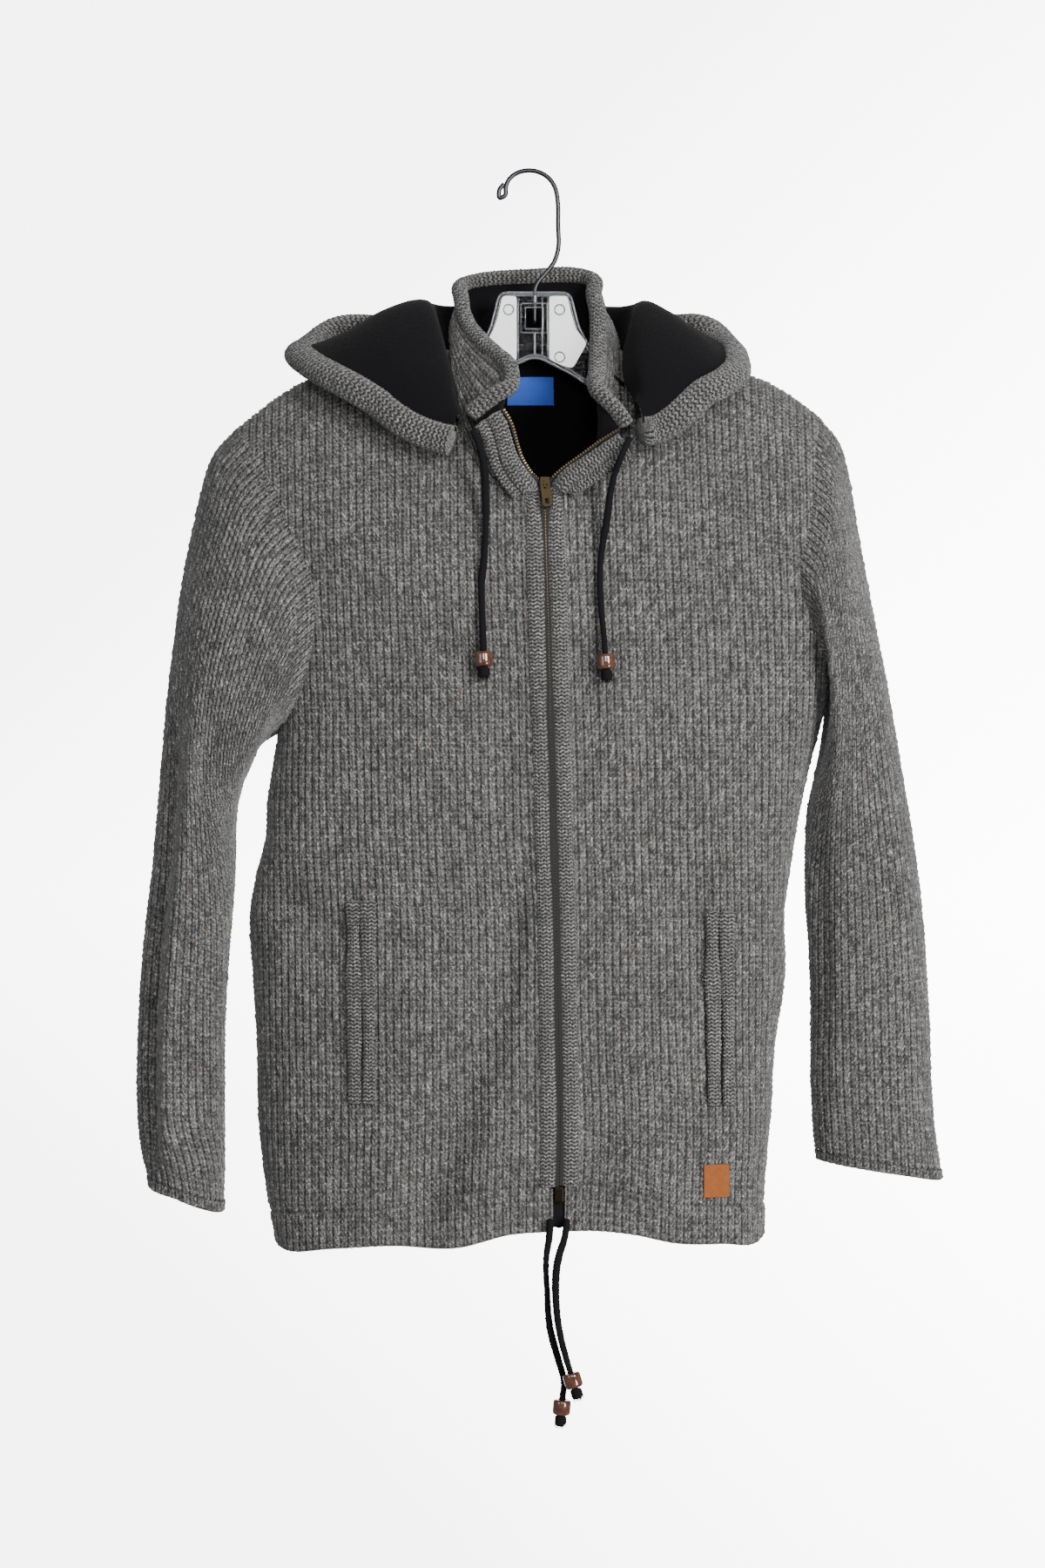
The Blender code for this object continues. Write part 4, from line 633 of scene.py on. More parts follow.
def panelObject(name, made, first, last, extra=0.0, rollAt=None):
    # rows first to last of a knit as a mesh, with a turned-under edge at one end if asked for
    pick = slice(first, last + 1)
    points = made["points"][pick] + made["out"][pick] * (made["relief"][pick] + extra)[..., None]
    # groove is the points' painted shade
    uv, groove, out = made["uv"][pick], made["groove"][pick], made["out"][pick]
    if rollAt is not None:
        end, inside = (0, 2) if rollAt == "first" else (-1, -3)
        off = unit(made["points"][pick][end] - made["points"][pick][inside])
        rows = [points[end] + out[end] * deep + off * beyond for deep, beyond in turnedUnder]
        fill = [np.repeat(a[end][None], len(rows), 0) for a in (uv, groove)]
        if rollAt == "first":
            points = np.concatenate([rows[::-1], points])
            uv, groove = np.concatenate([fill[0], uv]), np.concatenate([fill[1], groove])
        else:
            points = np.concatenate([points, rows])
            uv, groove = np.concatenate([uv, fill[0]]), np.concatenate([groove, fill[1]])
    rows, columns = points.shape[:2]
    faces = gridFaces(rows, columns)
    # columns clipped at a panel's edge lie on one another, so their faces are left out
    x = uv[..., 0].reshape(-1)
    same = np.abs(x[faces[:, 0]] - x[faces[:, 1]]) + np.abs(x[faces[:, 3]] - x[faces[:, 2]]) < 1e-6
    thing = makeMesh(name, points.reshape(-1, 3), faces[~same], wool, uv.reshape(-1, 2), groove.reshape(-1))
    weld(thing)
    return thing


panels = {}
for face, forward in (("front", -1), ("back", 1)):
    for side in ("left", "right"):
        made = panel(face, side)
        panels[face, side] = made
        node = "back" if face == "back" else face + "_" + side
        body = panelObject(face + "Knit" + side.title(), made, made["line"], made["rows"] - 1)
        orient(body, lambda p, way=forward: np.array([0, way, 0]))
        dress(body, "grey_knit", node)
        edge = panelObject("hem" + face.title() + side.title(), made, 0, made["line"], 0.5, "first")
        orient(edge, lambda p, way=forward: np.array([0, way, 0]))
        dress(edge, "grey_knit", "hem_" + node)
        declare(body, made["points"][made["line"]:])
    print(face, "built")

# sleeves: rings from the armhole to the cuff: outer and inner edge (x, z), middle y, half depth
sleeve = {
    "left": [
        (-230, -200, -196, -438, 0, 40), (-247, -220, -207, -445, -1, 47), (-256, -248, -214, -455, -2, 49),
        (-264, -284, -219, -468, -3, 48), (-271, -322, -224, -480, -4, 45),
        (-276, -362, -227, -496, -5, 40), (-281, -404, -228, -514, -6, 38),
        (-285, -448, -228, -535, -7, 36), (-289, -496, -229, -560, -8, 35),
        (-293, -540, -231, -586, -9, 34), (-298, -584, -233, -614, -10, 33),
        (-302, -628, -235, -646, -11, 32), (-304, -670, -236, -680, -12, 31),
        (-305, -706, -236, -712, -12, 30), (-304, -738, -236, -744, -12, 29),
        (-301, -762, -236, -774, -12, 28), (-296, -780, -237, -800, -12, 27),
    ],
    "right": [
        (229, -195, 235, -393, 0, 38), (243, -213, 243, -401, 0, 46), (251, -243, 242, -417, 0, 48),
        (257, -280, 238, -436, -1, 48), (264, -318, 231, -456, -2, 45), (271, -356, 223, -477, -3, 42),
        (279, -398, 217, -500, -4, 38), (287, -444, 215.5, -525, -5, 36), (295, -492, 215, -552, -6, 35),
        (302, -538, 216, -580, -7, 34), (307, -584, 218, -610, -8, 33), (310, -628, 219, -644, -9, 32),
        (312, -668, 219, -676, -10, 31), (313, -704, 219, -706, -10, 31), (315, -736, 220, -728, -10, 30),
        (318, -760, 221, -748, -10, 29), (320, -775, 223, -760, -10, 28),
    ],
    "power": 2.2, "cuff": 8.0, "under": (6, 2.2), "eased": 6, "wander": 0.6,
    "half": 24, "around": 193, "up": 400,
    # first and last ring, angle at both (0 outer, 90 front), half width, depth
    "folds": [
        ("left", 5, 15, 82, 78, 10, 5.5), ("left", 5, 15, 47, 41, 22, -10.5),
        ("left", 1, 6, 118, 92, 20, -3.0), ("left", 9, 15, 130, 104, 22, -2.5),
        ("right", 5, 15, 52, 66, 22, 3.0), ("right", 4, 12, 136, 150, 18, -5.0),
        ("right", 2, 7, 100, 76, 20, -3.0), ("left", 4, 14, 250, 290, 22, -4.0),
        ("right", 4, 14, 285, 250, 22, -4.0),
    ],
}


def catmull(t):
    return np.stack([-0.5 * t + t**2 - 0.5 * t**3, 1 - 2.5 * t**2 + 1.5 * t**3,
                     0.5 * t + 2 * t**2 - 1.5 * t**3, -0.5 * t**2 + 0.5 * t**3], -1)


def gridAt(grid, u, v, closed=False):
    # smooth reading of a grid of points at fractional row u and column v
    rows, columns = grid.shape[:2]
    u = np.clip(u, 0, rows - 1)
    v = v % columns if closed else np.clip(v, 0, columns - 1)
    i = np.minimum(np.floor(u).astype(int), rows - 2)
    j = np.floor(v).astype(int) if closed else np.minimum(np.floor(v).astype(int), columns - 2)
    wu, wv = catmull(u - i), catmull(v - j)
    made = 0
    for a in range(4):
        r = i + a - 1
        over = np.clip(r, 0, rows - 1)
        for b in range(4):
            c = j + b - 1
            c = c % columns if closed else np.clip(c, 0, columns - 1)
            made = made + (wu[..., a] * wv[..., b])[..., None] * grid[over, c]
    return made


def gridFacing(grid, u, v, closed=False):
    here = gridAt(grid, u, v, closed)
    rows, columns = grid.shape[:2]
    du = np.where(u > (rows - 1) / 2, -0.05, 0.05)
    dv = np.where(v > (columns - 1) / 2, -0.05, 0.05)
    a = (gridAt(grid, u + du, v, closed) - here) / du[..., None]
    b = (gridAt(grid, u, v + dv, closed) - here) / dv[..., None]
    return here, unit(np.cross(b, a))


def sleeveSurface(side):
    rings = np.array(sleeve[side], float)
    halves = []
    for face in ("front", "back"):
        halves.append(torsoAt(face, *armEdge(side, armhole["scoop"][face], sleeve["half"] + 1)))
    first = np.vstack([halves[0][::-1], halves[1][1:-1]])
    count = len(first)
    t = np.arange(count) / count * 2 * math.pi
    power = 2 / sleeve["power"]
    c = np.sign(np.cos(t)) * np.abs(np.cos(t)) ** power
    n = np.sign(np.sin(t)) * np.abs(np.sin(t)) ** power
    made = []
    for r, (ox, oz, ix, iz, y, depth) in enumerate(rings):
        middle = np.array([(ox + ix) / 2, y, (oz + iz) / 2])
        reach = np.array([(ox - ix) / 2, 0, (oz - iz) / 2])
        swell = np.zeros(count)
        for which, r0, r1, a0, a1, width, deepness in sleeve["folds"]:
            if which != side or not r0 - 1 < r < r1 + 1:
                continue
            part = min(max((r - r0) / (r1 - r0), 0), 1)
            fade = softStep((r - r0 + 1) / 2) * softStep((r1 + 1 - r) / 2)
            angle = (np.degrees(t) - (a0 + (a1 - a0) * part) + 180) % 360 - 180
            swell += deepness * fade * np.exp(-(angle / width) ** 2)
        points = middle + c[:, None] * reach + n[:, None] * np.array([0, -depth, 0])
        points += unit(points - middle) * swell[:, None]
        made.append(points)
    made = np.array(made)
    offset = first - made[0]
    for r in range(len(made)):
        made[r] += offset * (1 - softStep(r / sleeve["eased"]))
    step = unit(made[-1] - made[-2])
    start = unit(made[1] - made[0])
    beyond, inwards = sleeve["under"]  # a seam allowance under the panels
    under = made[0] - start * beyond + unit(made[0].mean(0) - made[0]) * inwards
    return np.concatenate([[under], made, [made[-1] + step * sleeve["cuff"]]])


def sleeveKnit(side):
    grid = sleeveSurface(side)
    places = np.linspace(0, len(grid) - 1, sleeve["up"])
    lines = gridAt(grid, places[:, None], np.arange(grid.shape[1])[None].astype(float), True)
    run = np.linalg.norm(np.diff(lines, axis=0), axis=2).mean(1)
    length = np.concatenate([[0], np.cumsum(run)])
    height = np.append(np.arange(0, length[-1], knit["row"] / 2), length[-1])
    u = np.interp(height, length, places)
    around = np.linspace(0, grid.shape[1], sleeve["around"])
    ring = gridAt(grid, u[:, None], around[None], True)
    run = np.cumsum(np.linalg.norm(np.diff(ring, axis=1), axis=2), 1)
    cum = np.concatenate([np.zeros((len(u), 1)), run], 1)
    total = cum[:, -1]
    half = total / 2
    columns = int(half.max() / (knit["wale"] / 4)) * 2 + 5
    rows = len(u)
    middle = columns // 2 // 4 * 4
    wander = noiseOf(rows, 30, seeds["sleeve wander"][side])[:, None] * sleeve["wander"]
    away = (np.arange(columns)[None] - middle) * knit["wale"] / 4 + wander
    clipped = np.clip(away, -half[:, None], half[:, None])
    free = np.abs(clipped - away) < 1e-6
    place = clipped % total[:, None]
    v = np.stack([np.interp(p, row, around) for p, row in zip(place, cum)])
    zig = np.array([-knit["slant"], 0, knit["slant"], 0])[np.arange(columns) % 4]
    perU = np.gradient(height) / np.maximum(np.gradient(u), 1e-6)
    calm = np.clip((rows - 1 - np.arange(rows))[:, None] / 3, 0, 1) * free
    zigzag = u[:, None] + zig[None] * calm / perU[:, None]
    zigzag[0], zigzag[-1] = 0, len(grid) - 1
    points, out = gridFacing(grid, zigzag, v, True)
    out = towards(out, points - points.mean(1, keepdims=True))
    # groove holds each point's painted shade, which goes on as its shade attribute
    relief, groove = stitchRelief(rows, columns, seeds["sleeve"][side])
    relief = relief * np.where(free, 1, knit["edge"])
    uv = np.stack([clipped, -height[:, None] + zig[None]], -1)
    # the cuff begins at the row nearest to its depth
    line = int(np.searchsorted(height, height[-1] - sleeve["cuff"] - 0.6))
    return {
        "points": points, "out": out, "relief": relief, "groove": groove, "uv": uv,
        "line": line, "rows": rows,
    }


for side in ("left", "right"):
    made = sleeveKnit(side)
    panels["sleeve", side] = made
    cut = made["line"]
    middle = made["points"].mean(1)

    def outward(p, middle=middle):
        near = middle[np.argmin(np.abs(middle[:, 2] - p[2] * 1000))]
        return p * 1000 - near

    body = orient(panelObject("sleeveKnit" + side.title(), made, 0, cut), outward)
    dress(body, "grey_knit", "sleeve_" + side)
    edge = orient(panelObject("cuffKnit" + side.title(), made, cut, made["rows"] - 1, 1.0, "last"), outward)
    dress(edge, "grey_knit", "cuff_" + side)
    declare(body, made["points"][:cut + 1])
print("sleeves built")

# stand collar: top edge by share of the way round
collar = {
    "top": np.array([
        (0.0, -40, -64, -202), (0.06, -29, -62, -192), (0.12, -21, -57, -179), (0.17, -22, -47, -160),
        (0.22, -34, -34, -148), (0.27, -49, -16, -131), (0.33, -58, 4, -111), (0.38, -55.5, 22, -96),
        (0.43, -43, 34, -87), (0.5, 2, 42, -82), (0.57, 44, 35, -83), (0.62, 55, 23, -94),
        (0.67, 60.7, 6, -110), (0.73, 61.5, -14, -134), (0.79, 59, -36, -163), (0.85, 56, -50, -179),
        (0.9, 58, -58, -190), (0.95, 63, -62, -199), (1.0, 68, -64, -208),
    ]),
    "bulge": 3.0, "wall": 3.6, "fleece": 1.3, "roll": 6.4, "gap": 0.8, "beyond": 3.5,
}


def neckRing():
    # in step with the solids: nine rows up each front edge, then six spans across the back
    rows = np.append(np.linspace(0, 1, 9), 0.989)[np.r_[0:8, 9, 8]]
    lines = []
    for side in ("left", "right"):
        across, rise = neckEdge(side, 200)
        t = np.linspace(0, 1, 200)
        lines.append(torsoAt("front", np.interp(rows, t, across), np.interp(rows, t, rise)))
    ends = [float(acrossOf(ridgeMiddle + s * neck["half"], 1.0)) for s in (-1, 1)]
    k = np.arange(1, 6) / 6
    drop = 1 - float(riseOf(ridgeMiddle, ridgeZ(ridgeMiddle) - neck["drop"]))
    back = torsoAt("back", ends[0] + (ends[1] - ends[0]) * k, 1.0 - drop * np.sin(k * math.pi) ** 0.6)
    return np.vstack([lines[0], back, lines[1][::-1]])


base = neckRing()
part = np.linspace(0, 1, len(base))
top = smoothAt(collar["top"][:, 0], collar["top"][:, 1:], part)
middle = base.mean(0) * [1, 1, 0]
collarGrid = []
for up in np.linspace(0, 1, 7):
    points = base + (top - base) * up
    collarGrid.append(points + unit((points - middle) * [1, 1, 0]) * collar["bulge"] * 4 * up * (1 - up))
# and on into the roll
collarGrid.append(collarGrid[-1] + unit(collarGrid[-1] - collarGrid[-2]) * collar["beyond"])
collarGrid = np.array(collarGrid)


def evenPlaces(grid, nu, nv):
    # row and column of nu by nv places spread evenly over a grid
    u = np.linspace(0, grid.shape[0] - 1, nu)[:, None] * np.ones((1, nv))
    v = np.linspace(0, grid.shape[1] - 1, nv)[None] * np.ones((nu, 1))
    return u, v


def knitOver(name, grid, seed, alongColumns, outward, scale=1.0, lift=0.0):
    # a grid of stitches over a smooth grid; wales run along the columns or along the rows
    rows, columns = grid.shape[:2]
    longU = np.linalg.norm(np.diff(grid, axis=0), axis=2).sum(0).mean()
    longV = np.linalg.norm(np.diff(grid, axis=1), axis=2).sum(1).max()
    waleStep, rowStep = knit["wale"] / 4, knit["row"] / 2
    if alongColumns:
        nu, nv = int(longU / waleStep) + 1, int(longV / rowStep) + 1
    else:
        nu, nv = int(longU / rowStep) + 1, int(longV / waleStep) + 1
    u, v = evenPlaces(grid, nu, nv)
    # groove holds each point's painted shade, which goes on as its shade attribute
    if alongColumns:
        relief, groove = (a.T for a in stitchRelief(nv, nu, seed, scale))
        zig = np.array([1, 0, -1, 0])[np.arange(nu) % 4] * knit["slant"] * (columns - 1) / longV
        v[:, 1:-1] += zig[:, None]
    else:
        relief, groove = stitchRelief(nu, nv, seed, scale)
        zig = np.array([1, 0, -1, 0])[np.arange(nv) % 4] * knit["slant"] * (rows - 1) / longU
        u[1:-1] += zig[None]
    points, out = gridFacing(grid, u, v)
    out = towards(out, outward(points))
    beside = np.linalg.norm(np.gradient(points, axis=0 if alongColumns else 1), axis=2)
    relief = relief * np.clip(beside / waleStep, 0.1, 1) ** 1.5
    made = points + out * (relief + lift)[..., None]
    uv = np.stack([v * longV / (columns - 1), u * longU / (rows - 1)], -1).reshape(-1, 2)
    thing = makeMesh(name, made.reshape(-1, 3), gridFaces(nu, nv), wool, uv, groove.reshape(-1))
    return lookAlong(thing, out)


def insideOf(name, grid, deep, outward, step):
    # a smooth fleece sheet behind a grid, looking inwards
    rows, columns = grid.shape[:2]
    nu, nv = (rows - 1) * step[0] + 1, (columns - 1) * step[1] + 1
    points, out = gridFacing(grid, *evenPlaces(grid, nu, nv))
    out = towards(out, outward(points))
    thing = makeMesh(name, (points - out * deep).reshape(-1, 3), gridFaces(nu, nv), fleece)
    return lookAlong(thing, -out)


def fromNeck(points):
    return (points - np.array([4.0, -10.0, 0.0])) * [1, 1, 0]


thing = knitOver("collarKnit", collarGrid, seeds["collar"], True, fromNeck, 0.9)
dress(thing, "grey_knit", "collar")
declare(thing, collarGrid)
thing = insideOf("collarFleece", collarGrid, collar["wall"] + collar["fleece"], fromNeck, (2, 3))
dress(thing, "black_fleece", "collar_lining")
declare(thing, collarGrid)


# a strip's rows of stitches lie 4.2 mm apart round it, its rings 1.5 mm apart along it
stripSet = {"row": 4.2, "pitch": 1.5, "lump": 0.12, "wander": 0.6}


def tubeAlong(name, lines, halfWide, halfThick, material, around, relief, seed, pitch=stripSet["pitch"]):
    # a rolled strip along a centre line, with its directions across and out
    centre, across, out = lines
    length = runOf(centre)
    count = int(length[-1] / pitch) + 1
    where = np.linspace(0, length[-1], count)
    c, a, o = (smoothAt(length, line, where) for line in (centre, across, out))
    a, o = unit(a), unit(o)
    dice = np.random.default_rng(seed)
    s = np.arange(around)
    t = 2 * math.pi * s / around
    lump = dice.normal(0, stripSet["lump"], (count, around))
    lump = lump + 0.35 * noiseOf(count, 12, seed)[:, None] * stripSet["wander"]
    rib = relief * np.where((np.arange(count)[:, None] + s[None] // 2) % 2 == 0, 1, -1)
    rib = rib - relief * (s[None] % 2 == 0)
    grow = 1 + (rib + lump) / halfThick
    points = (c[:, None] + a[:, None] * (halfWide * np.cos(t))[None, :, None] * grow[..., None]
              + o[:, None] * (halfThick * np.sin(t))[None, :, None] * grow[..., None])
    faces = gridFaces(count, around, True)
    root = math.sqrt((3 * halfWide + halfThick) * (halfWide + 3 * halfThick))
    ringLong = math.pi * (3 * (halfWide + halfThick) - root)
    turns = max(1, round(ringLong / stripSet["row"])) * stripSet["row"]
    uv = np.stack(np.broadcast_arrays(where[:, None], (s / around * turns)[None]), -1).reshape(-1, 2)
    uv = np.vstack([uv, [[0, 0], [where[-1], 0]]])
    points = np.vstack([points.reshape(-1, 3), c[:1] - (c[1] - c[0]), c[-1:] + (c[-1] - c[-2])])
    first, last = len(points) - 2, len(points) - 1
    ends = [(first, (k + 1) % around, k) for k in range(around)]
    ring = (count - 1) * around
    ends += [(last, ring + k, ring + (k + 1) % around) for k in range(around)]
    thing = makeMesh(name, points, [tuple(f) for f in faces] + ends, material, uv)
    # where the strip closes, the last column of faces ends at a full turn and not at zero
    wrap = thing.data.uv_layers[0].data
    for k in range(around - 1, len(faces), around):
        for corner in thing.data.polygons[k].loop_indices:
            if wrap[corner].uv[1] < 1e-9:
                wrap[corner].uv[1] = turns / 1000
    return evenOut(thing)


def rolledEdge(name, edge, away, radius, around, seed, wider=0.0):
    # a roll just past an edge of cloth
    step = unit(np.gradient(edge, axis=0))
    away = unit(away - step * (away * step).sum(1, keepdims=True))
    centre = edge + away * (radius + collar["gap"] + wider * 0.6)
    step = unit(np.gradient(centre, axis=0))
    across = unit(np.cross(step, away))
    lines = (centre, across, unit(np.cross(across, step)))
    return tubeAlong(name, lines, radius, radius + wider, woolRoll, around, 0.30, seed)


places = np.linspace(0, collarGrid.shape[1] - 1, 90)
edge, out = gridFacing(collarGrid, np.full(90, 6.0), places)
inner = gridAt(collarGrid, np.full(90, 5.0), places)
out = towards(out, fromNeck(edge))
thing = rolledEdge("collarRoll", edge - out * (collar["wall"] + collar["fleece"]) / 2, edge - inner,
                   collar["roll"], 26, seeds["collar roll"])
dress(thing, "grey_knit", "collar_roll")
print("collar built")

# hood lying open round the collar: seam, crest, valley, belly and rim at each station
hood = {
    "stations": np.array([
        ((-54, -60, -199), (-55, -66, -197), (-56, -69, -200), (-56, -70, -203), (-55, -70.5, -206)),
        ((-57, -51, -186), (-61, -61, -181), (-66, -65.5, -186), (-70, -67.5, -193), (-74, -67, -200)),
        ((-58, -44, -176), (-63, -52, -164), (-72, -60, -169), (-82, -65, -180), (-92, -65, -191)),
        ((-64, -28, -156), (-70, -32, -138), (-85, -43, -146), (-100, -53, -160), (-114, -56, -174)),
        ((-70, -8, -134), (-77, -8, -111), (-99, -18, -117), (-123, -32, -137), (-143, -42, -158)),
        ((-73, 14, -133), (-80, 16, -101), (-110, 12, -107), (-142, 2, -127), (-168, -2, -139)),
        ((-67, 28, -136), (-76, 44, -99), (-104, 46, -118), (-137, 50, -134), (-148, 48, -127)),
        ((-50, 40, -138), (-56, 60, -99), (-76, 72, -152), (-112, 88, -152), (-107, 79, -121)),
        ((-25, 38, -142), (-27, 66, -98), (-42, 76, -190), (-64, 104, -190), (-54, 97, -118)),
        ((4, 36.5, -144), (4, 68, -98), (4, 75, -212), (4, 112, -216), (4, 102, -116)),
        ((34, 38, -142), (35, 66, -98), (50, 76, -190), (72, 104, -190), (62, 96, -118)),
        ((59, 40, -138), (64, 60, -99), (84, 72, -150), (114, 88, -150), (105, 78, -120)),
        ((76, 28, -136), (82, 44, -100), (102, 44, -116), (126, 46, -132), (136, 42, -127)),
        ((81, 14, -133), (88, 16, -102), (106, 10, -108), (130, 2, -125), (150, 0, -137)),
        ((78, -8, -134), (86, -8, -112), (104, -18, -119), (128, -30, -138), (148, -36, -157)),
        ((75, -28, -155), (84, -34, -137), (97, -44, -144), (113, -51, -156), (128, -54, -169)),
        ((78, -44, -173), (85, -54, -162), (93, -59, -167), (102, -64, -176), (110, -64, -185)),
        ((84, -52, -184), (88, -62, -178), (92, -66, -183), (95, -68, -189), (97, -67, -195)),
        ((82, -60, -190), (83, -66, -189), (84, -69, -192), (85, -70, -196), (85, -70.5, -199)),
    ], float),
    "places": [(0, 5, 7), (5, 8, 7), (8, 10, 3), (10, 13, 7), (13, 18, 7)],
    "steps": (0, 0.55, 0.88, 1.12, 1.5, 2, 2.3, 2.7, 3, 3.5, 4),
    "roll": 8.6, "wider": 3.2, "wall": 2.2, "fleece": 1.0,
    "beyond": 5.0, "sunk": 0.3, "rimIn": 1.25, "along": 160,
}
key = np.arange(len(hood["stations"]))
where = np.concatenate([np.linspace(a, b, n, endpoint=False) for a, b, n in hood["places"]] + [key[-1:]])
guides = np.stack([smoothAt(key, hood["stations"][:, g], where) for g in range(5)], 1)
hoodGrid = np.stack([smoothAt(range(5), section, np.array(hood["steps"])) for section in guides])
beyond = unit(hoodGrid[:, -1:] - hoodGrid[:, -2:-1]) * hood["beyond"]  # on into the roll
hoodGrid = np.concatenate([hoodGrid, hoodGrid[:, -1:] + beyond], 1)
u, v = np.indices(hoodGrid.shape[:2]).astype(float)
hoodNormal = gridFacing(hoodGrid, u, v)[1]
hoodNormal = hoodNormal * (1.0 if hoodNormal[len(hoodGrid) // 2, -2, 1] > 0 else -1.0)


def hoodWay(points):
    # the hood's outside at the nearest of its own points
    count = points.shape
    ii = np.linspace(0, len(hoodGrid) - 1, count[0]).round().astype(int)
    jj = np.linspace(0, hoodGrid.shape[1] - 1, count[1]).round().astype(int)
    return hoodNormal[ii][:, jj]


thing = knitOver("hoodKnit", hoodGrid, seeds["hood"], False, hoodWay, 0.75, -hood["sunk"])
dress(thing, "grey_knit", "hood")
declare(thing, hoodGrid)
thing = insideOf("hoodFleece", hoodGrid, hood["wall"] + hood["fleece"] + hood["sunk"], hoodWay, (4, 3))
dress(thing, "black_fleece", "hood_lining")
declare(thing, hoodGrid)
places = np.linspace(0, len(hoodGrid) - 1, hood["along"])
edge, inner = (gridAt(hoodGrid, places, np.full(hood["along"], column)) for column in (10.0, 9.0))
rimOut = unit(smoothAt(np.arange(len(hoodGrid)), hoodNormal[:, -1], places))
thing = rolledEdge("hoodRoll", edge - rimOut * hood["rimIn"], edge - inner, hood["roll"], 30,
                   seeds["hood roll"], hood["wider"])
dress(thing, "grey_knit", "hood_roll")
print("hood built")

# zip: strips of teeth and the knit bands beside them
zipSet = {
    "strip": 2.6, "apart": 0.25, "sunk": 0.6, "blend": 7.0, "steps": 20, "end": 0.6, "slider": -249.0,
    "band": (14.2, 8.4), "proud": 2.6, "away": 9.2, "lift": 1.2, "facing": (0.0, -0.95, 0.3),
    # each side of the open V from the top down: x, how far behind the slider's middle, z
    "left": [(-20, 16, -193), (-16, 15.5, -199), (-13, 14.5, -205), (-10, 11, -215),
             (-6, 7, -228), (0, 2.2, -238), (7, -0.5, -246)],
    "right": [(67, 16, -210), (55, 13, -217), (38, 8, -229), (25, 2.5, -238), (17.6, -0.5, -245)],
    # teeth: pitch, size, narrowing; how far in and out they sit where closed and where open
    "pitch": 2.3, "tooth": (1.9, 1.4, 1.0), "taper": 0.8, "meshed": (1.05, -0.2), "apartBy": (0.45, 0.9),
    "closing": (2.35, 6, 26),  # the bands close over the teeth below the slider: by, from, over
    "tail": {"top": -779.0, "low": -812.5, "sunk": 2.4, "half": 6.6, "thick": 0.9},
    "seam": {"away": 8.5, "sunk": 2.4, "half": 6.5, "thick": 2.6},
}


def frontAt(x, z, lift=0.0):
    # points on the front of the body and the direction away from it
    x, z = np.asarray(x, float), np.asarray(z, float)

    def at(px, pz):
        rise = riseOf(px, pz)
        return torsoAt("front", acrossOf(px, rise), rise)

    here = at(x, z)
    out = unit(np.cross(at(x, z + 3) - here, at(x + 3, z) - here))
    out = out * np.where(out[..., 1] * here[..., 1] < 0, -1.0, 1.0)[..., None]
    return here + out * lift, out


def boxes(name, centres, axes, sizes, material, taper):
    # many small blocks in one mesh; axes are across, out and along
    points, faces = [], []
    quads = [(0, 1, 3, 2), (4, 6, 7, 5), (0, 4, 5, 1), (2, 3, 7, 6), (0, 2, 6, 4), (1, 5, 7, 3)]
    corner = np.array([(a, b, c) for a in (-1, 1) for b in (-1, 1) for c in (-1, 1)], float) / 2
    corner = corner * np.where(corner[:, 1:2] > 0, [[taper, 1, taper]], [[1, 1, 1]])
    for k, (centre, own) in enumerate(zip(centres, axes)):
        points.append(centre + (corner * np.array(sizes)) @ own)
        faces += [tuple(8 * k + q for q in quad) for quad in quads]
    return evenOut(makeMesh(name, np.vstack(points), faces, material, smooth=False))


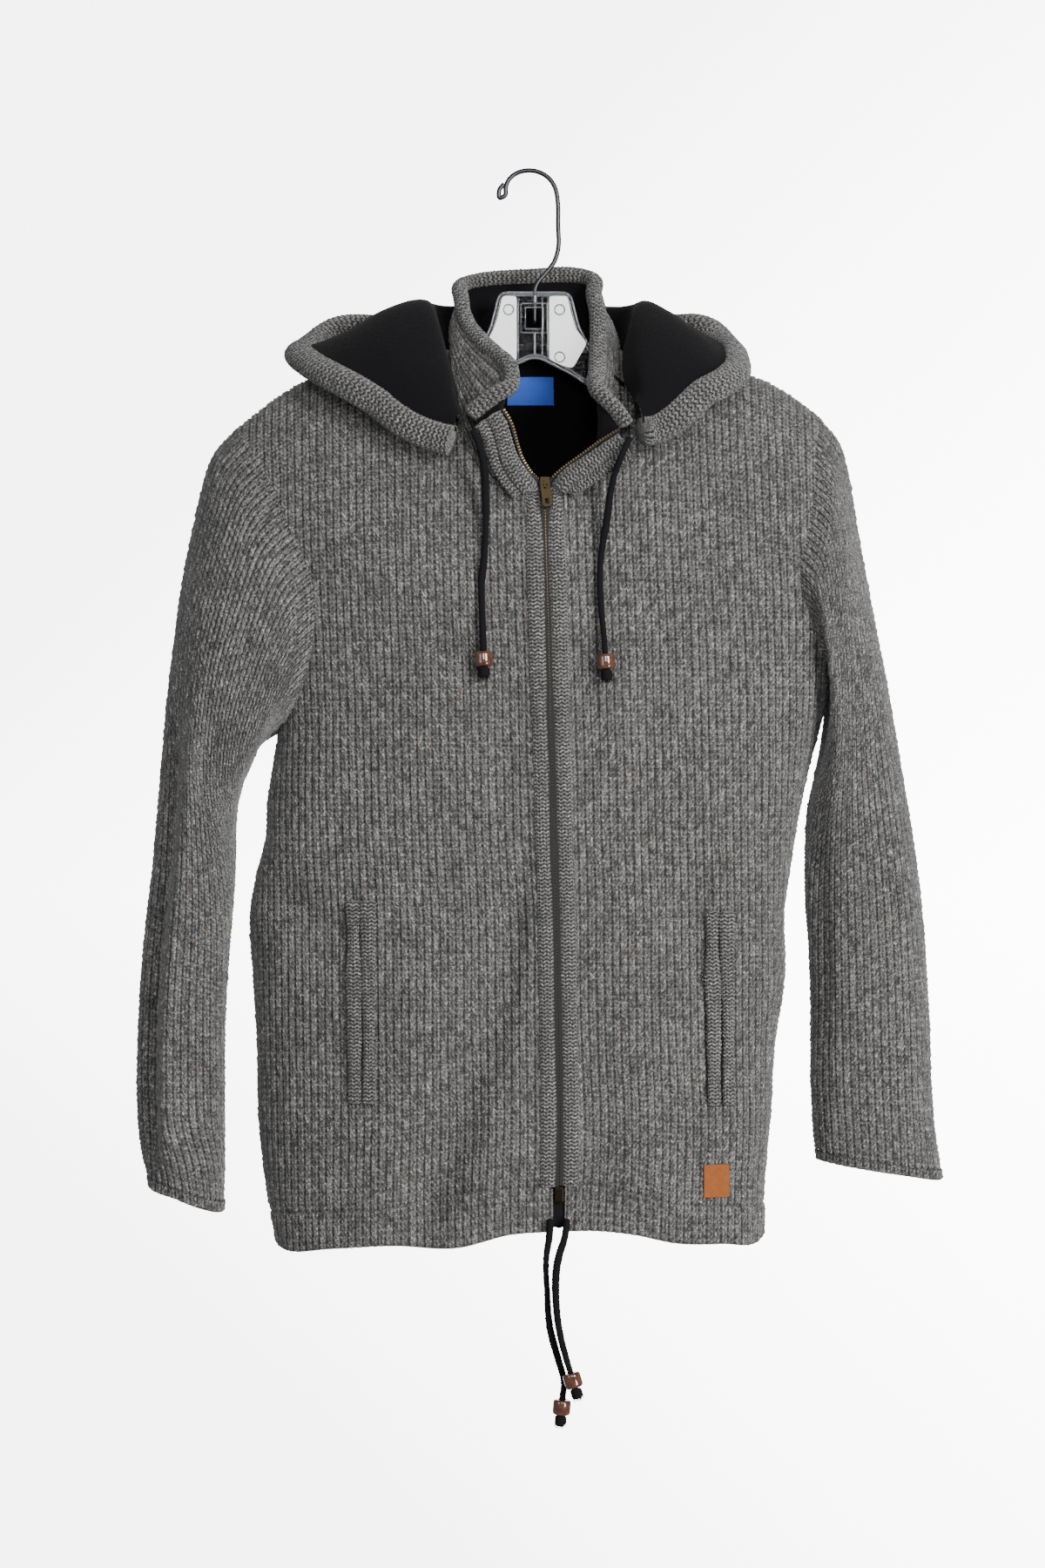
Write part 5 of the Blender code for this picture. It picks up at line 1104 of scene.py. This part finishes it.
sliderPoint = frontAt(torsoCol("zip", zipSet["slider"]), zipSet["slider"])[0]
for sign, side in ((-1, "left"), (1, "right")):
    low = hem[side + " line"][0] + zipSet["end"]
    tops = np.array([(x, sliderPoint[1] - forward, z) for x, forward, z in zipSet[side]])[::-1]
    heights = np.linspace(low, tops[0][2] - zipSet["blend"], zipSet["steps"])
    beside = sign * (zipSet["strip"] / 2 + zipSet["apart"])
    rows, out = frontAt(torsoCol("zip", heights) + beside, heights, -zipSet["sunk"])
    strip = np.vstack([rows, tops])
    out = np.vstack([out, [zipSet["facing"]] * len(tops)])
    step = unit(np.gradient(strip, axis=0))
    across = unit(np.cross(step, out))
    out = unit(np.cross(across, step))
    away = across * (1 if across[0][0] * sign > 0 else -1)
    band = strip + away * zipSet["away"]
    x, z = band[:zipSet["steps"], 0], band[:zipSet["steps"], 2]
    band[:zipSet["steps"]] = frontAt(x, z, zipSet["proud"] - zipSet["band"][1] / 2)[0]
    band[zipSet["steps"]:] += out[zipSet["steps"]:] * zipSet["lift"]
    step = unit(np.gradient(band, axis=0))
    bandAcross = unit(np.cross(step, out))
    by, start, over = zipSet["closing"]
    closing = by * softStep((zipSet["slider"] - start - band[:, 2]) / over)
    band -= away * closing[:, None]
    thing = tubeAlong("zipBand" + side.title(), (band, bandAcross, unit(np.cross(bandAcross, step))),
                      zipSet["band"][0] / 2 - 0.2, zipSet["band"][1] / 2, woolFine,
                      26, 0.16, seeds["zip band"])
    dress(thing, "grey_knit", "zip_band_" + side)
    last = slice(zipSet["steps"] - 3, None)  # knit of the front beside the band, up the V
    seam = zipSet["seam"]
    beyond = band[last] + away[last] * seam["away"] - out[last] * seam["sunk"]
    thing = tubeAlong("neckSeam" + side.title(), (beyond, bandAcross[last], out[last]), seam["half"],
                      seam["thick"], woolFine, 20, 0.2, seeds["neck seam"])
    dress(thing, "grey_knit")
    length = runOf(strip)
    start = 1.0 + (zipSet["pitch"] / 2 if side == "left" else 0)  # the two rows mesh
    where = np.arange(start, length[-1] - 0.5, zipSet["pitch"])
    c, o, s = (smoothAt(length, a, where) for a in (strip, out, np.gradient(strip, axis=0)))
    s = unit(s)
    a = unit(np.cross(s, o))
    o = unit(np.cross(a, s))
    inwards = a * (-1 if a[0][0] * sign > 0 else 1)
    axes = np.stack([a, o, s], 1)
    parted = softStep((c[:, 2] - zipSet["slider"]) / 6)[:, None]
    (inBy, outBy), (lessIn, moreOut) = zipSet["meshed"], zipSet["apartBy"]
    middle = c + inwards * (inBy - lessIn * parted) + o * (outBy + moreOut * parted)
    teeth = boxes("zipTeeth" + side.title(), middle, axes, zipSet["tooth"], toothBrass, zipSet["taper"])
    dress(teeth, "aged_brass")
tail = zipSet["tail"]
z = np.linspace(tail["top"], tail["low"], 8)
rows, out = frontAt(torsoCol("zip", z), z, -tail["sunk"])
across = unit(np.cross(unit(np.gradient(rows, axis=0)), out))
thing = tubeAlong("zipTails", (rows, across, out), tail["half"], tail["thick"], cordCloth, 12, 0.0,
                  seeds["zip tail"], 3.0)
dress(thing, "zip_tape")
print("zip built")

# fleece behind every ninth row and some columns of each knit panel
deepIn = -(collar["wall"] + collar["fleece"])
for (face, side), made in panels.items():
    rows, columns = made["points"].shape[:2]
    pick = np.r_[0: rows: 9, rows - 1]
    across = np.r_[0: columns: 7 if face == "sleeve" else 9, columns - 1]
    points = (made["points"] + made["out"] * deepIn)[pick][:, across]
    name = "lining" + face.title() + side.title()
    thing = makeMesh(name, points.reshape(-1, 3), gridFaces(*points.shape[:2]), fleece)
    weld(thing)
    if face != "sleeve":
        orient(thing, lambda p, way=1 if face == "front" else -1: np.array([0, way, 0]))
    dress(thing, "black_fleece")
    declare(thing, points)
print("linings built")


def squareTo(axis):
    # two directions at right angles to an axis
    side = unit(np.cross(axis, [0.3, 1, 0.1]))
    return side, np.cross(axis, side)


def turnedPiece(name, start, axis, profile, sides, material):
    # profile rows are distance along and radius
    side, other = squareTo(axis)
    t = np.arange(sides) / sides * 2 * math.pi
    ring = np.cos(t)[:, None] * side + np.sin(t)[:, None] * other
    points = np.concatenate([start + axis * a + ring * r for a, r in profile])
    rows = len(profile)
    faces = [tuple(f) for f in gridFaces(rows, sides, True)]
    faces += [tuple(range(sides))[::-1], tuple(range((rows - 1) * sides, rows * sides))]
    return evenOut(makeMesh(name, points, faces, material))


def tubes(name, lines, material, sides):
    # thin strands in one mesh; each line is points and its radius at start and end
    points, faces = [], []
    for line, r0, r1 in lines:
        step = unit(np.gradient(line, axis=0))
        side = unit(np.cross(step, [0.31, 0.83, 0.47]))
        other = np.cross(step, side)
        t = np.arange(sides) / sides * 2 * math.pi
        radius = np.linspace(r0, r1, len(line))[:, None, None]
        way = side[:, None] * np.cos(t)[None, :, None] + other[:, None] * np.sin(t)[None, :, None]
        base = sum(map(len, points))
        points.append((line[:, None] + way * radius).reshape(-1, 3))
        faces += [tuple(base + k for k in f) for f in gridFaces(len(line), sides, True)]
        faces += [tuple(base + k for k in range(sides))[::-1],
                  tuple(base + (len(line) - 1) * sides + k for k in range(sides))]
    return makeMesh(name, np.vstack(points), faces, material)


# free cords: each route runs in metres from the exit to the bead; then bead and frayed knot in mm
cordSet = {
    "diameter": 0.005,
    "routes": {
        "hood_cord_left": [
            (-0.0425, -0.076, -0.210), (-0.038, -0.0795, -0.220), (-0.0345, -0.076, -0.233),
            (-0.033, -0.068, -0.258), (-0.033, -0.0635, -0.289), (-0.034, -0.063, -0.306),
            (-0.036, -0.0633, -0.324), (-0.0355, -0.065, -0.344), (-0.0345, -0.0674, -0.376),
        ],
        "hood_cord_right": [
            (0.076, -0.0825, -0.216), (0.071, -0.084, -0.227), (0.065, -0.077, -0.242),
            (0.059, -0.067, -0.278), (0.055, -0.063, -0.304), (0.054, -0.063, -0.325),
            (0.055, -0.064, -0.344), (0.057, -0.0664, -0.364), (0.058, -0.0672, -0.378),
        ],
        "hem_cord_left": [
            (0.0165, -0.0639, -0.808), (0.016, -0.0644, -0.818), (0.0136, -0.0655, -0.832),
            (0.013, -0.0655, -0.844), (0.014, -0.065, -0.863), (0.016, -0.065, -0.890),
            (0.020, -0.065, -0.906), (0.0245, -0.065, -0.922), (0.027, -0.065, -0.934),
            (0.0255, -0.065, -0.944),
        ],
        "hem_cord_right": [
            (0.029, -0.0641, -0.808), (0.028, -0.0658, -0.818), (0.0235, -0.071, -0.832),
            (0.021, -0.0725, -0.844), (0.0205, -0.0725, -0.867), (0.023, -0.073, -0.890),
            (0.027, -0.074, -0.907), (0.0315, -0.075, -0.922),
        ],
    },
    "braid": {"proud": 0.08, "around": 12, "relief": 0.13, "pitch": 1.1, "step": 13},
    "bead": {"long": 11.6, "radius": 6.8, "bore": 3.0, "gap": 0.35, "sides": 40},
    # three turns of cord, then loose strands
    "knot": {"long": 9.0, "radius": 5.2, "turns": 3, "thick": 2.1, "strands": 46, "strand": (0.42, 0.12)},
}
beadWood, tree, main = shader("bead", (0.085, 0.024, 0.009), 0.12, **{
    "Coat Weight": 0.7, "Coat Roughness": 0.08})
grain = noiseNode(tree, objectPlace(tree), 300, 3.0, 0.6)
grain = rampNode(tree, grain, [(0.35, (0.040, 0.012, 0.006)), (0.65, (0.105, 0.034, 0.014))])
link(tree, grain, main.inputs["Base Color"])


def beadProfile(long, radius, bore):
    # half of it, from the bore over the rounded rim to the middle, and then mirrored
    half = [(1.2, bore), (0.35, bore + 0.1), (0.05, bore + 0.7), (0, radius * 0.60), (0.12, radius * 0.78),
            (0.5, radius * 0.90), (1.3, radius * 0.97), (2.6, radius)]
    return half + [(long - a, r) for a, r in half[::-1]]


def knotStrands(tip, axis, seed):
    knotSet = cordSet["knot"]
    high, thick = knotSet["long"], knotSet["radius"]
    side, other = squareTo(axis)
    strands = []
    for wrap in range(knotSet["turns"]):
        t = np.linspace(0, 2 * math.pi, 22) + wrap * 2.1
        lean = 0.5 * (wrap - 1)
        ring = (np.cos(t)[:, None] * side + np.sin(t)[:, None] * other) * (thick * 0.50)
        ring = ring + axis * (2.4 + wrap * 1.5 + lean * np.sin(t)[:, None] * 1.6)
        strands.append((tip + ring, knotSet["thick"], knotSet["thick"]))
    dice = np.random.default_rng(seed)
    for _ in range(knotSet["strands"]):
        t, reach = dice.uniform(0, 2 * math.pi), dice.uniform(0.1, 0.95)
        way = math.cos(t) * side + math.sin(t) * other
        first = tip + axis * dice.uniform(3.5, 5.5) + way * reach * 2.2
        last = tip + axis * (high + dice.uniform(-1.4, 1.6))
        last = last + way * reach * (thick + dice.uniform(-0.8, 0.8))
        middle = (first + last) / 2 + way * dice.uniform(0, 1.2) + dice.normal(0, 0.35, 3)
        line = smoothAt([0, 1, 2], np.array([first, middle, last]), np.linspace(0, 2, 6))
        strands.append((line, *knotSet["strand"]))
    return strands


for number, (name, route) in enumerate(cordSet["routes"].items()):
    route = np.array(route) * 1000
    length = runOf(route)
    braid, beadSet = cordSet["braid"], cordSet["bead"]
    spans = max(6, int(length[-1] / braid["step"]) + 1)
    line = smoothAt(length, route, np.linspace(0, length[-1], spans))
    length = runOf(line)
    fine = smoothAt(length, line, np.linspace(0, length[-1], int(length[-1] / 2)))
    step = unit(np.gradient(fine, axis=0))
    across = unit(np.cross(step, [0, -1, 0]))
    lines = (fine, across, unit(np.cross(across, step)))
    radius = cordSet["diameter"] * 500 + braid["proud"]
    cordPiece = tubeAlong(name.replace("_", "") + "Braid", lines, radius, radius, cordCloth,
                          braid["around"], braid["relief"], seeds["braid"] + number, braid["pitch"])
    dress(cordPiece, "black_cord", name)
    axis = unit(line[-1] - line[-2])
    end = line[-1] + axis * beadSet["gap"]
    profile = beadProfile(beadSet["long"], beadSet["radius"], beadSet["bore"])
    tag = name.title().replace("_", "")
    bead = turnedPiece("bead" + tag, end, axis, profile, beadSet["sides"], beadWood)
    dress(bead, "brown_bead", "bead_" + name)
    tip = end + axis * (beadSet["long"] + beadSet["gap"])
    strands = knotStrands(tip, axis, seeds["knot"] + number)
    knot = tubes("knot" + tag, strands, cordCloth, 6)
    dress(knot, "black_cord", "knot_" + name)

# pocket welts: x at the top and the bottom, z at the top and the bottom
pockets = {
    "left": (-134.5, -133.0, -567.0, -720.0), "right": (139.5, 140.5, -575.0, -722.0),
    "width": 10.6, "thick": 3.2, "apart": 0.7, "gap": 0.8, "beside": 1, "swell": 0.3,
}
for side in ("left", "right"):
    topX, lowX, topZ, lowZ = pockets[side]
    for k, tag in ((-1, "a"), (1, "b")):
        z = np.linspace(lowZ, topZ, 24)
        x = np.linspace(lowX, topX, 24) + k * (pockets["width"] + pockets["apart"]) / 2
        x = x + pockets["width"] / 2 + pockets["beside"]
        centre, out = frontAt(x, z, pockets["thick"] / 2 + pockets["gap"])
        across = unit(np.cross(unit(np.gradient(centre, axis=0)), out))
        thing = tubeAlong("welt" + side.title() + tag.upper(), (centre, across, out), pockets["width"] / 2,
                          pockets["thick"] / 2 + pockets["swell"], woolFine, 22, 0.2, seeds["welt"] + k)
        dress(thing, "grey_knit", "welt_" + side + "_" + tag)
print("welts built")

# small parts that keep their solids
leather, tree, main = shader("leather", (0.40, 0.115, 0.028), 0.62, **{"Specular IOR Level": 0.10})
where = objectPlace(tree)
skin = noiseNode(tree, where, 260, 4.0, 0.65)
skin = rampNode(tree, skin, [(0.3, (0.185, 0.054, 0.0125)), (0.7, (0.24, 0.070, 0.0180))])
link(tree, skin, main.inputs["Base Color"])
bumpNode(tree, main, noiseNode(tree, where, 1500, 3.0, 0.6), 0.35, 0.0003)
labelCloth, tree, main = shader("label", (0.030, 0.105, 0.55), 0.75, **{"Sheen Weight": 0.2})
bumpNode(tree, main, noiseNode(tree, objectPlace(tree), 1800, 1.0, 0.5), 0.4, 0.0003)
labelEdge = shader("label_edge", (0.05, 0.15, 0.58), 0.8)[0]
kept = {
    ("slider", "pull_tab", "zip_bottom_box"): (brass, "aged_brass"),
    ("leather_patch",): (leather, "tan_leather"), ("neck_label",): (labelCloth, "blue_label"),
    ("zip_strip_left", "zip_strip_right"): (tape, "zip_tape"), ("back_lining",): (fleece, "black_fleece"),
}
for names, (material, slot) in kept.items():
    for name in names:
        nodes[name].data.materials.clear()
        nodes[name].data.materials.append(material)

# the label's seam: stitches in a row along each edge, just proud of the solid's front
label = {
    "inset": 1.3, "stitch": 1.5, "step": 2.6, "wire": 0.16, "proud": 0.15, "bulge": 0.12,
    "start": (2, 2.2), "end": 1.5,
}
mesh = nodes["neck_label"].data
spots = np.array([nodes["neck_label"].matrix_world @ v.co for v in mesh.vertices]) * 1000
x0, x1, z0, z1 = spots[:, 0].min(), spots[:, 0].max(), spots[:, 2].min(), spots[:, 2].max()
seams = []
for x in np.arange(x0 + label["start"][0], x1 - label["end"], label["step"]):
    seams += [(x, z, True) for z in (z0 + label["inset"], z1 - label["inset"])]
for z in np.arange(z0 + label["start"][1], z1 - label["end"], label["step"]):
    seams += [(x, z, False) for x in (x0 + label["inset"], x1 - label["inset"])]


def nearLabel(x, z):
    # y of the label's front at a place, from its nearest points
    away = np.hypot(spots[:, 0] - x, spots[:, 2] - z) + 1e-6
    front = spots[:, 1] < np.median(spots[:, 1])
    weight = np.where(front, away**-3, 0)
    return float((spots[:, 1] * weight).sum() / weight.sum())


lines = []
for x, z, flat in seams:
    dx, dz = (label["stitch"] / 2, 0) if flat else (0, label["stitch"] / 2)
    y = nearLabel(x, z) - label["proud"]
    stitch = np.array([(x - dx, y, z - dz), (x, y - label["bulge"], z), (x + dx, y, z + dz)])
    lines.append((stitch, label["wire"], label["wire"]))
thing = tubes("labelStitches", lines, labelEdge, 5)
dress(thing, "blue_label")

# hanger: the solids' outline, thinner inside a raised rim
hanger = {
    "thick": 5.0, "under": 8.5, "dip": 7.0, "plateTop": (-23.8, 33.3, -92.6), "waist": (-30.6, 40.3, -121.0),
    "arch": [(-24.0, -156.0), (-9.5, -150.5), (4.8, -143.5), (19.0, -150.5), (31.0, -156.5)],
    "armStart": (-46.0, 56.0), "armTip": (-206.0, 206.0), "armDeep": (24.0, 15.0), "armPoints": 24,
    "window": (-3.1, 11.9, -122.4, -104.7), "channel": (-8.2, 14.9),
    "bosses": [(-15.7, -107.0), (24.2, -107.0), (24.2, -144.0)], "boss": 3.9, "skin": 1.3, "middle": 4.8,
    "corner": 9.0, "shoulder": (3.2, 12), "straight": 2.95,
}


def hangerTop(x):
    # the arms follow the shoulder's ridge from below, and dip at the neck
    slope = math.atan(abs(float(ridgeZ(x + 2) - ridgeZ(x - 2))) / 4)
    dip = math.exp(-((abs(x - ridgeMiddle) - neck["half"]) / 16) ** 2)
    return float(ridgeZ(x)) - hanger["under"] / math.cos(slope) - hanger["dip"] * dip


def hangerArm(first, last, start=None, tip=None):
    # the arm's upper line, or its lower line if it is told where the arm starts and ends
    rows = []
    for x in np.linspace(first, last, hanger["armPoints"]):
        deep0, deep1 = hanger["armDeep"]
        deep = 0 if start is None else deep0 + (deep1 - deep0) * (x - start) / (tip - start)
        rows.append((x, hangerTop(x) - deep))
    return rows


def rounded(points, radius, steps=5):
    # rounds the corners of a closed outline
    made = []
    count = len(points)
    for k in range(count):
        a, b, c = (np.array(points[(k + d) % count], float) for d in (-1, 0, 1))
        before, after = a - b, c - b
        longA, longC = np.linalg.norm(before), np.linalg.norm(after)
        bend = math.acos(max(-1.0, min(1.0, float(before @ after / (longA * longC)))))
        if bend > hanger["straight"]:
            made.append(b)
            continue
        reach = min(radius, longA * 0.45, longC * 0.45)
        p, q = b + before / longA * reach, b + after / longC * reach
        for t in np.linspace(0, 1, steps):
            made.append(p * (1 - t) ** 2 + b * 2 * t * (1 - t) + q * t**2)
    return np.array(made)


leftStart, rightStart = hanger["armStart"]
leftTip, rightTip = hanger["armTip"]
(tx0, tx1, tz), (wx0, wx1, wz) = hanger["plateTop"], hanger["waist"]
outline = hangerArm(leftTip, leftStart)
inX, upZ = hanger["shoulder"]
outline += [(wx0, wz), (wx0 + inX, wz + upZ), (tx0, tz), (tx1, tz), (wx1 - inX, wz + upZ), (wx1, wz)]
outline += hangerArm(rightStart, rightTip) + hangerArm(rightTip, rightStart, rightStart, rightTip)
outline += hanger["arch"][::-1] + hangerArm(leftStart, leftTip, leftStart, leftTip)
outline = rounded(outline, hanger["corner"])


def flatPiece(name, ring, holes, y0, y1, material):
    # a plate between two depths, with holes through it
    body = bmesh.new()
    for loop in [ring] + holes:
        verts = [body.verts.new((x, y0, z)) for x, z in loop]
        for a, b in zip(verts, verts[1:] + verts[:1]):
            body.edges.new((a, b))
    bmesh.ops.triangle_fill(body, edges=body.edges[:], use_beauty=True)
    made = bmesh.ops.extrude_face_region(body, geom=body.faces[:])
    for v in made["geom"]:
        if isinstance(v, bmesh.types.BMVert):
            v.co.y = y1
    bmesh.ops.recalc_face_normals(body, faces=body.faces[:])
    for v in body.verts:
        v.co *= 0.001
    mesh = bpy.data.meshes.new(name)
    body.to_mesh(mesh)
    body.free()
    mesh.materials.append(material)
    return addObject(name, mesh)


def ringLine(loop, y, inset=0.0):
    # a closed outline as a line of points at one depth, moved inwards
    loop = np.array(loop, float)
    step = unit(np.roll(loop, -1, 0) - np.roll(loop, 1, 0))
    inward = np.stack([step[:, 1], -step[:, 0]], 1)
    moved = loop + inward * inset
    closed = np.vstack([moved, moved[:1]])
    return np.stack([closed[:, 0], np.full(len(closed), y), closed[:, 1]], 1)


def plastic(name, colour, rough, clearness, bend):
    return shader(name, colour, rough, **{"Transmission Weight": clearness, "IOR": bend})[0]


clearThin = plastic("clear_thin", (0.84, 0.86, 0.88), 0.03, 1.0, 1.07)
# the face panels' plastic is whiter and less clear than the rest: a painted reflection of the lamps
clearPaintedReflection = plastic("clear_painted_reflection", (0.96, 0.97, 0.98), 0.09, 0.70, 1.62)
# the ribs' plastic is grey: painted shade on their curved edges
clearRibShaded = plastic("clear_rib_painted_shade", (0.34, 0.35, 0.37), 0.06, 0.80, 1.5)
x0, x1, z0, z1 = hanger["window"]
c0, c1 = hanger["channel"]
window = [(x0, z0), (x1, z0), (x1, z1), (x0, z1)]
skin, half = hanger["skin"], hanger["thick"] / 2
thing = flatPiece("hangerSkin", outline, [window], -skin * 0.2, skin, clearThin)
dress(thing, "clear_plastic", "hanger_body")
plates = {
    "hangerFaceLeft": [
        (c0 - 1.2, tz - 3.8), (-20.6, tz - 3.8), (-23.4, -110), (-27.2, -122.5), (-33.5, -133),
        (-33.0, -149), (-22, -151.5), (-9.4, -147),
    ],
    "hangerFaceRight": [
        (c1 + 1.2, tz - 3.8), (30.2, tz - 3.8), (33.2, -110), (37.0, -122.5), (45.5, -133),
        (40.0, -143), (34.5, -152.5), (28.5, -151.5), (19.0, -147.2), (16.1, -145.4),
    ],
}
# face panels in the whiter plastic, a painted reflection of the lamps
for name, ring in plates.items():
    thing = flatPiece(name, rounded(ring, 3.0), [], -half + 0.2, -skin * 0.4, clearPaintedReflection)
    dress(thing, "clear_plastic", "hanger_body")
# ribs: rim inside the outline, frame round the window, edges of the channel, stem, bosses
ribs = {"rims": ((1.0, 1.0, 1), (3.1, 0.6, 0.8)), "frame": (2.9, 2.6, 2.6), "thin": 0.6, "thinner": 0.55}
lines = []
for y in (-half + 0.9, half - 0.9):
    for inset, wire, nearer in ribs["rims"]:
        lines.append((ringLine(outline, y * nearer, inset), wire, wire))
left, right, over = ribs["frame"]
x2, x3, z2, z3 = x0 - left, x1 + right, z0 - over, z1 + over
frameRing = [(x2, z2), (x3, z2), (x3, z3), (x2, z3)]
for ring, bend, inset in ((frameRing, 1.5, 0.0), (window, 1.0, -0.5)):
    ring = ringLine(rounded(ring, bend), -half + 0.8, inset)
    lines.append((ring, ribs["thinner"], ribs["thinner"]))
for x in (c0, c1, c1 - 4.2):
    line = np.array([(x, -half + 0.9, z) for z in np.linspace(tz - 5, -146, 12)])
    lines.append((line, ribs["thin"], ribs["thin"]))
for top, low, count, wires in ((z0 - 2, -143, 10, (1.0, 0.9)), (tz - 2, z1 + 2, 6, (1.8, 1.6))):
    lines.append((np.array([(hanger["middle"], -0.4, z) for z in np.linspace(top, low, count)]), *wires))
for bx, bz in hanger["bosses"]:
    t = np.linspace(0, 2 * math.pi, 30)
    x, z = bx + hanger["boss"] * np.cos(t), bz + hanger["boss"] * np.sin(t)
    lines.append((np.stack([x, np.full(30, -half + 0.2), z], 1), ribs["thin"], ribs["thin"]))
thing = tubes("hangerRibs", lines, clearRibShaded, 8)
dress(thing, "clear_plastic", "hanger_body")

# hook: a bent wire, and its end inside the clear plate
hook = {
    "wire": 3.7, "step": 6, "stem": (0.5, -117, 0.2, 1.2),
    "route": [
        (-19.2, -8.5), (-22.2, -12.0), (-23.6, -17.5), (-21.2, -20.6), (-18.6, -18.0),
        (-18.0, -12.0), (-15.6, -5.4), (-9.6, -0.4), (-1.0, 1.9), (8.5, 0.4),
        (16.2, -4.6), (20.8, -12.0), (22.6, -21.5), (23.0, -40.0), (22.5, -62.0),
        (19.0, -71.0), (12.5, -79.0), (6.6, -86.5), (4.8, -92.0), (4.8, -96.25),
    ],
}
steel = shader("steel", (0.045, 0.045, 0.048), 0.34, 1.0)[0]
route = np.array([(x, 0, z) for x, z in hook["route"]])
length = runOf(route)
line = smoothAt(length, route, np.linspace(0, length[-1], int(length[-1] / hook["step"]) + 1))
length = runOf(line)
line = smoothAt(length, line, np.linspace(0, length[-1], 150))
thing = tubes("hookWire", [(line, hook["wire"] / 2, hook["wire"] / 2)], steel, 20)
dress(thing, "steel_wire", "hanger_hook")
above, low, thinner, tip = hook["stem"]
stem = np.array([(hanger["middle"], -0.2, z) for z in np.linspace(tz + above, low, 12)])
thing = tubes("hookStem", [(stem, hook["wire"] / 2 - thinner, tip)], steel, 16)
dress(thing, "steel_wire")
print("hanger built")

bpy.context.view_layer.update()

# a pale backdrop that glows, brightest at the right and at middle height, and soft studio lights
screen = {
    "half": 3.3, "back": 9, "low": -5.4, "high": 4.4,
    "glow": 7.0, "least": 5.6, "right": (0.2, 9.0), "off": (0.46, 14.0),
}
backdrop, tree, main = shader("backdrop", (0.9, 0.9, 0.91), 0.9)
main.inputs["Emission Color"].default_value = (1, 1, 1, 1)
apart = tree.nodes.new("ShaderNodeSeparateXYZ")
link(tree, tree.nodes.new("ShaderNodeTexCoord").outputs["Generated"], apart.inputs[0])
middle, slope = screen["right"]
right = mathNode(tree, "MULTIPLY", mathNode(tree, "SUBTRACT", apart.outputs[0], middle), slope)
middle, slope = screen["off"]
off = mathNode(tree, "ABSOLUTE", mathNode(tree, "SUBTRACT", apart.outputs[2], middle))
off = mathNode(tree, "MULTIPLY", off, slope)
glow = mathNode(tree, "SUBTRACT", mathNode(tree, "ADD", right, screen["glow"]), off)
link(tree, mathNode(tree, "MAXIMUM", glow, screen["least"]), main.inputs["Emission Strength"])
corners = [(-1, "low"), (1, "low"), (1, "high"), (-1, "high")]
mesh = bpy.data.meshes.new("backdrop")
mesh.from_pydata([(k * screen["half"], screen["back"], screen[z]) for k, z in corners], [], [(0, 1, 2, 3)])
mesh.materials.append(backdrop)
addObject("backdrop", mesh)
lights = {  # place, size, power and what it is aimed at
    "key": ((1.6, -2.3, 0.35), 0.9, 90.0, (0, 0, -0.45)),
    "fill": ((-1.9, -2.2, 0.0), 1.2, 15.0, (0, 0, -0.40)),
    "front": ((0.05, -2.75, 0.42), 0.8, 34.0, (0, 0, -0.4)),
    "low": ((1.4, -1.6, -1.0), 0.6, 34.0, (0.24, 0, -0.75)),
}
for name, (place, size, power, aim) in lights.items():
    light = bpy.data.lights.new(name, "AREA")
    light.size = size
    light.energy = power
    lamp = addObject(name, light)
    lamp.location = place
    x, y, z = (a - b for a, b in zip(aim, place))
    lamp.rotation_euler = (math.atan2(math.hypot(x, y), -z), 0, math.atan2(y, x) - math.pi / 2)

sky = {"Color": (0.97, 0.97, 1.0, 1), "Strength": 0.35}
world = bpy.data.worlds.new("studio")
bpy.context.scene.world = world
world.use_nodes = True
for socket, value in sky.items():
    world.node_tree.nodes["Background"].inputs[socket].default_value = value
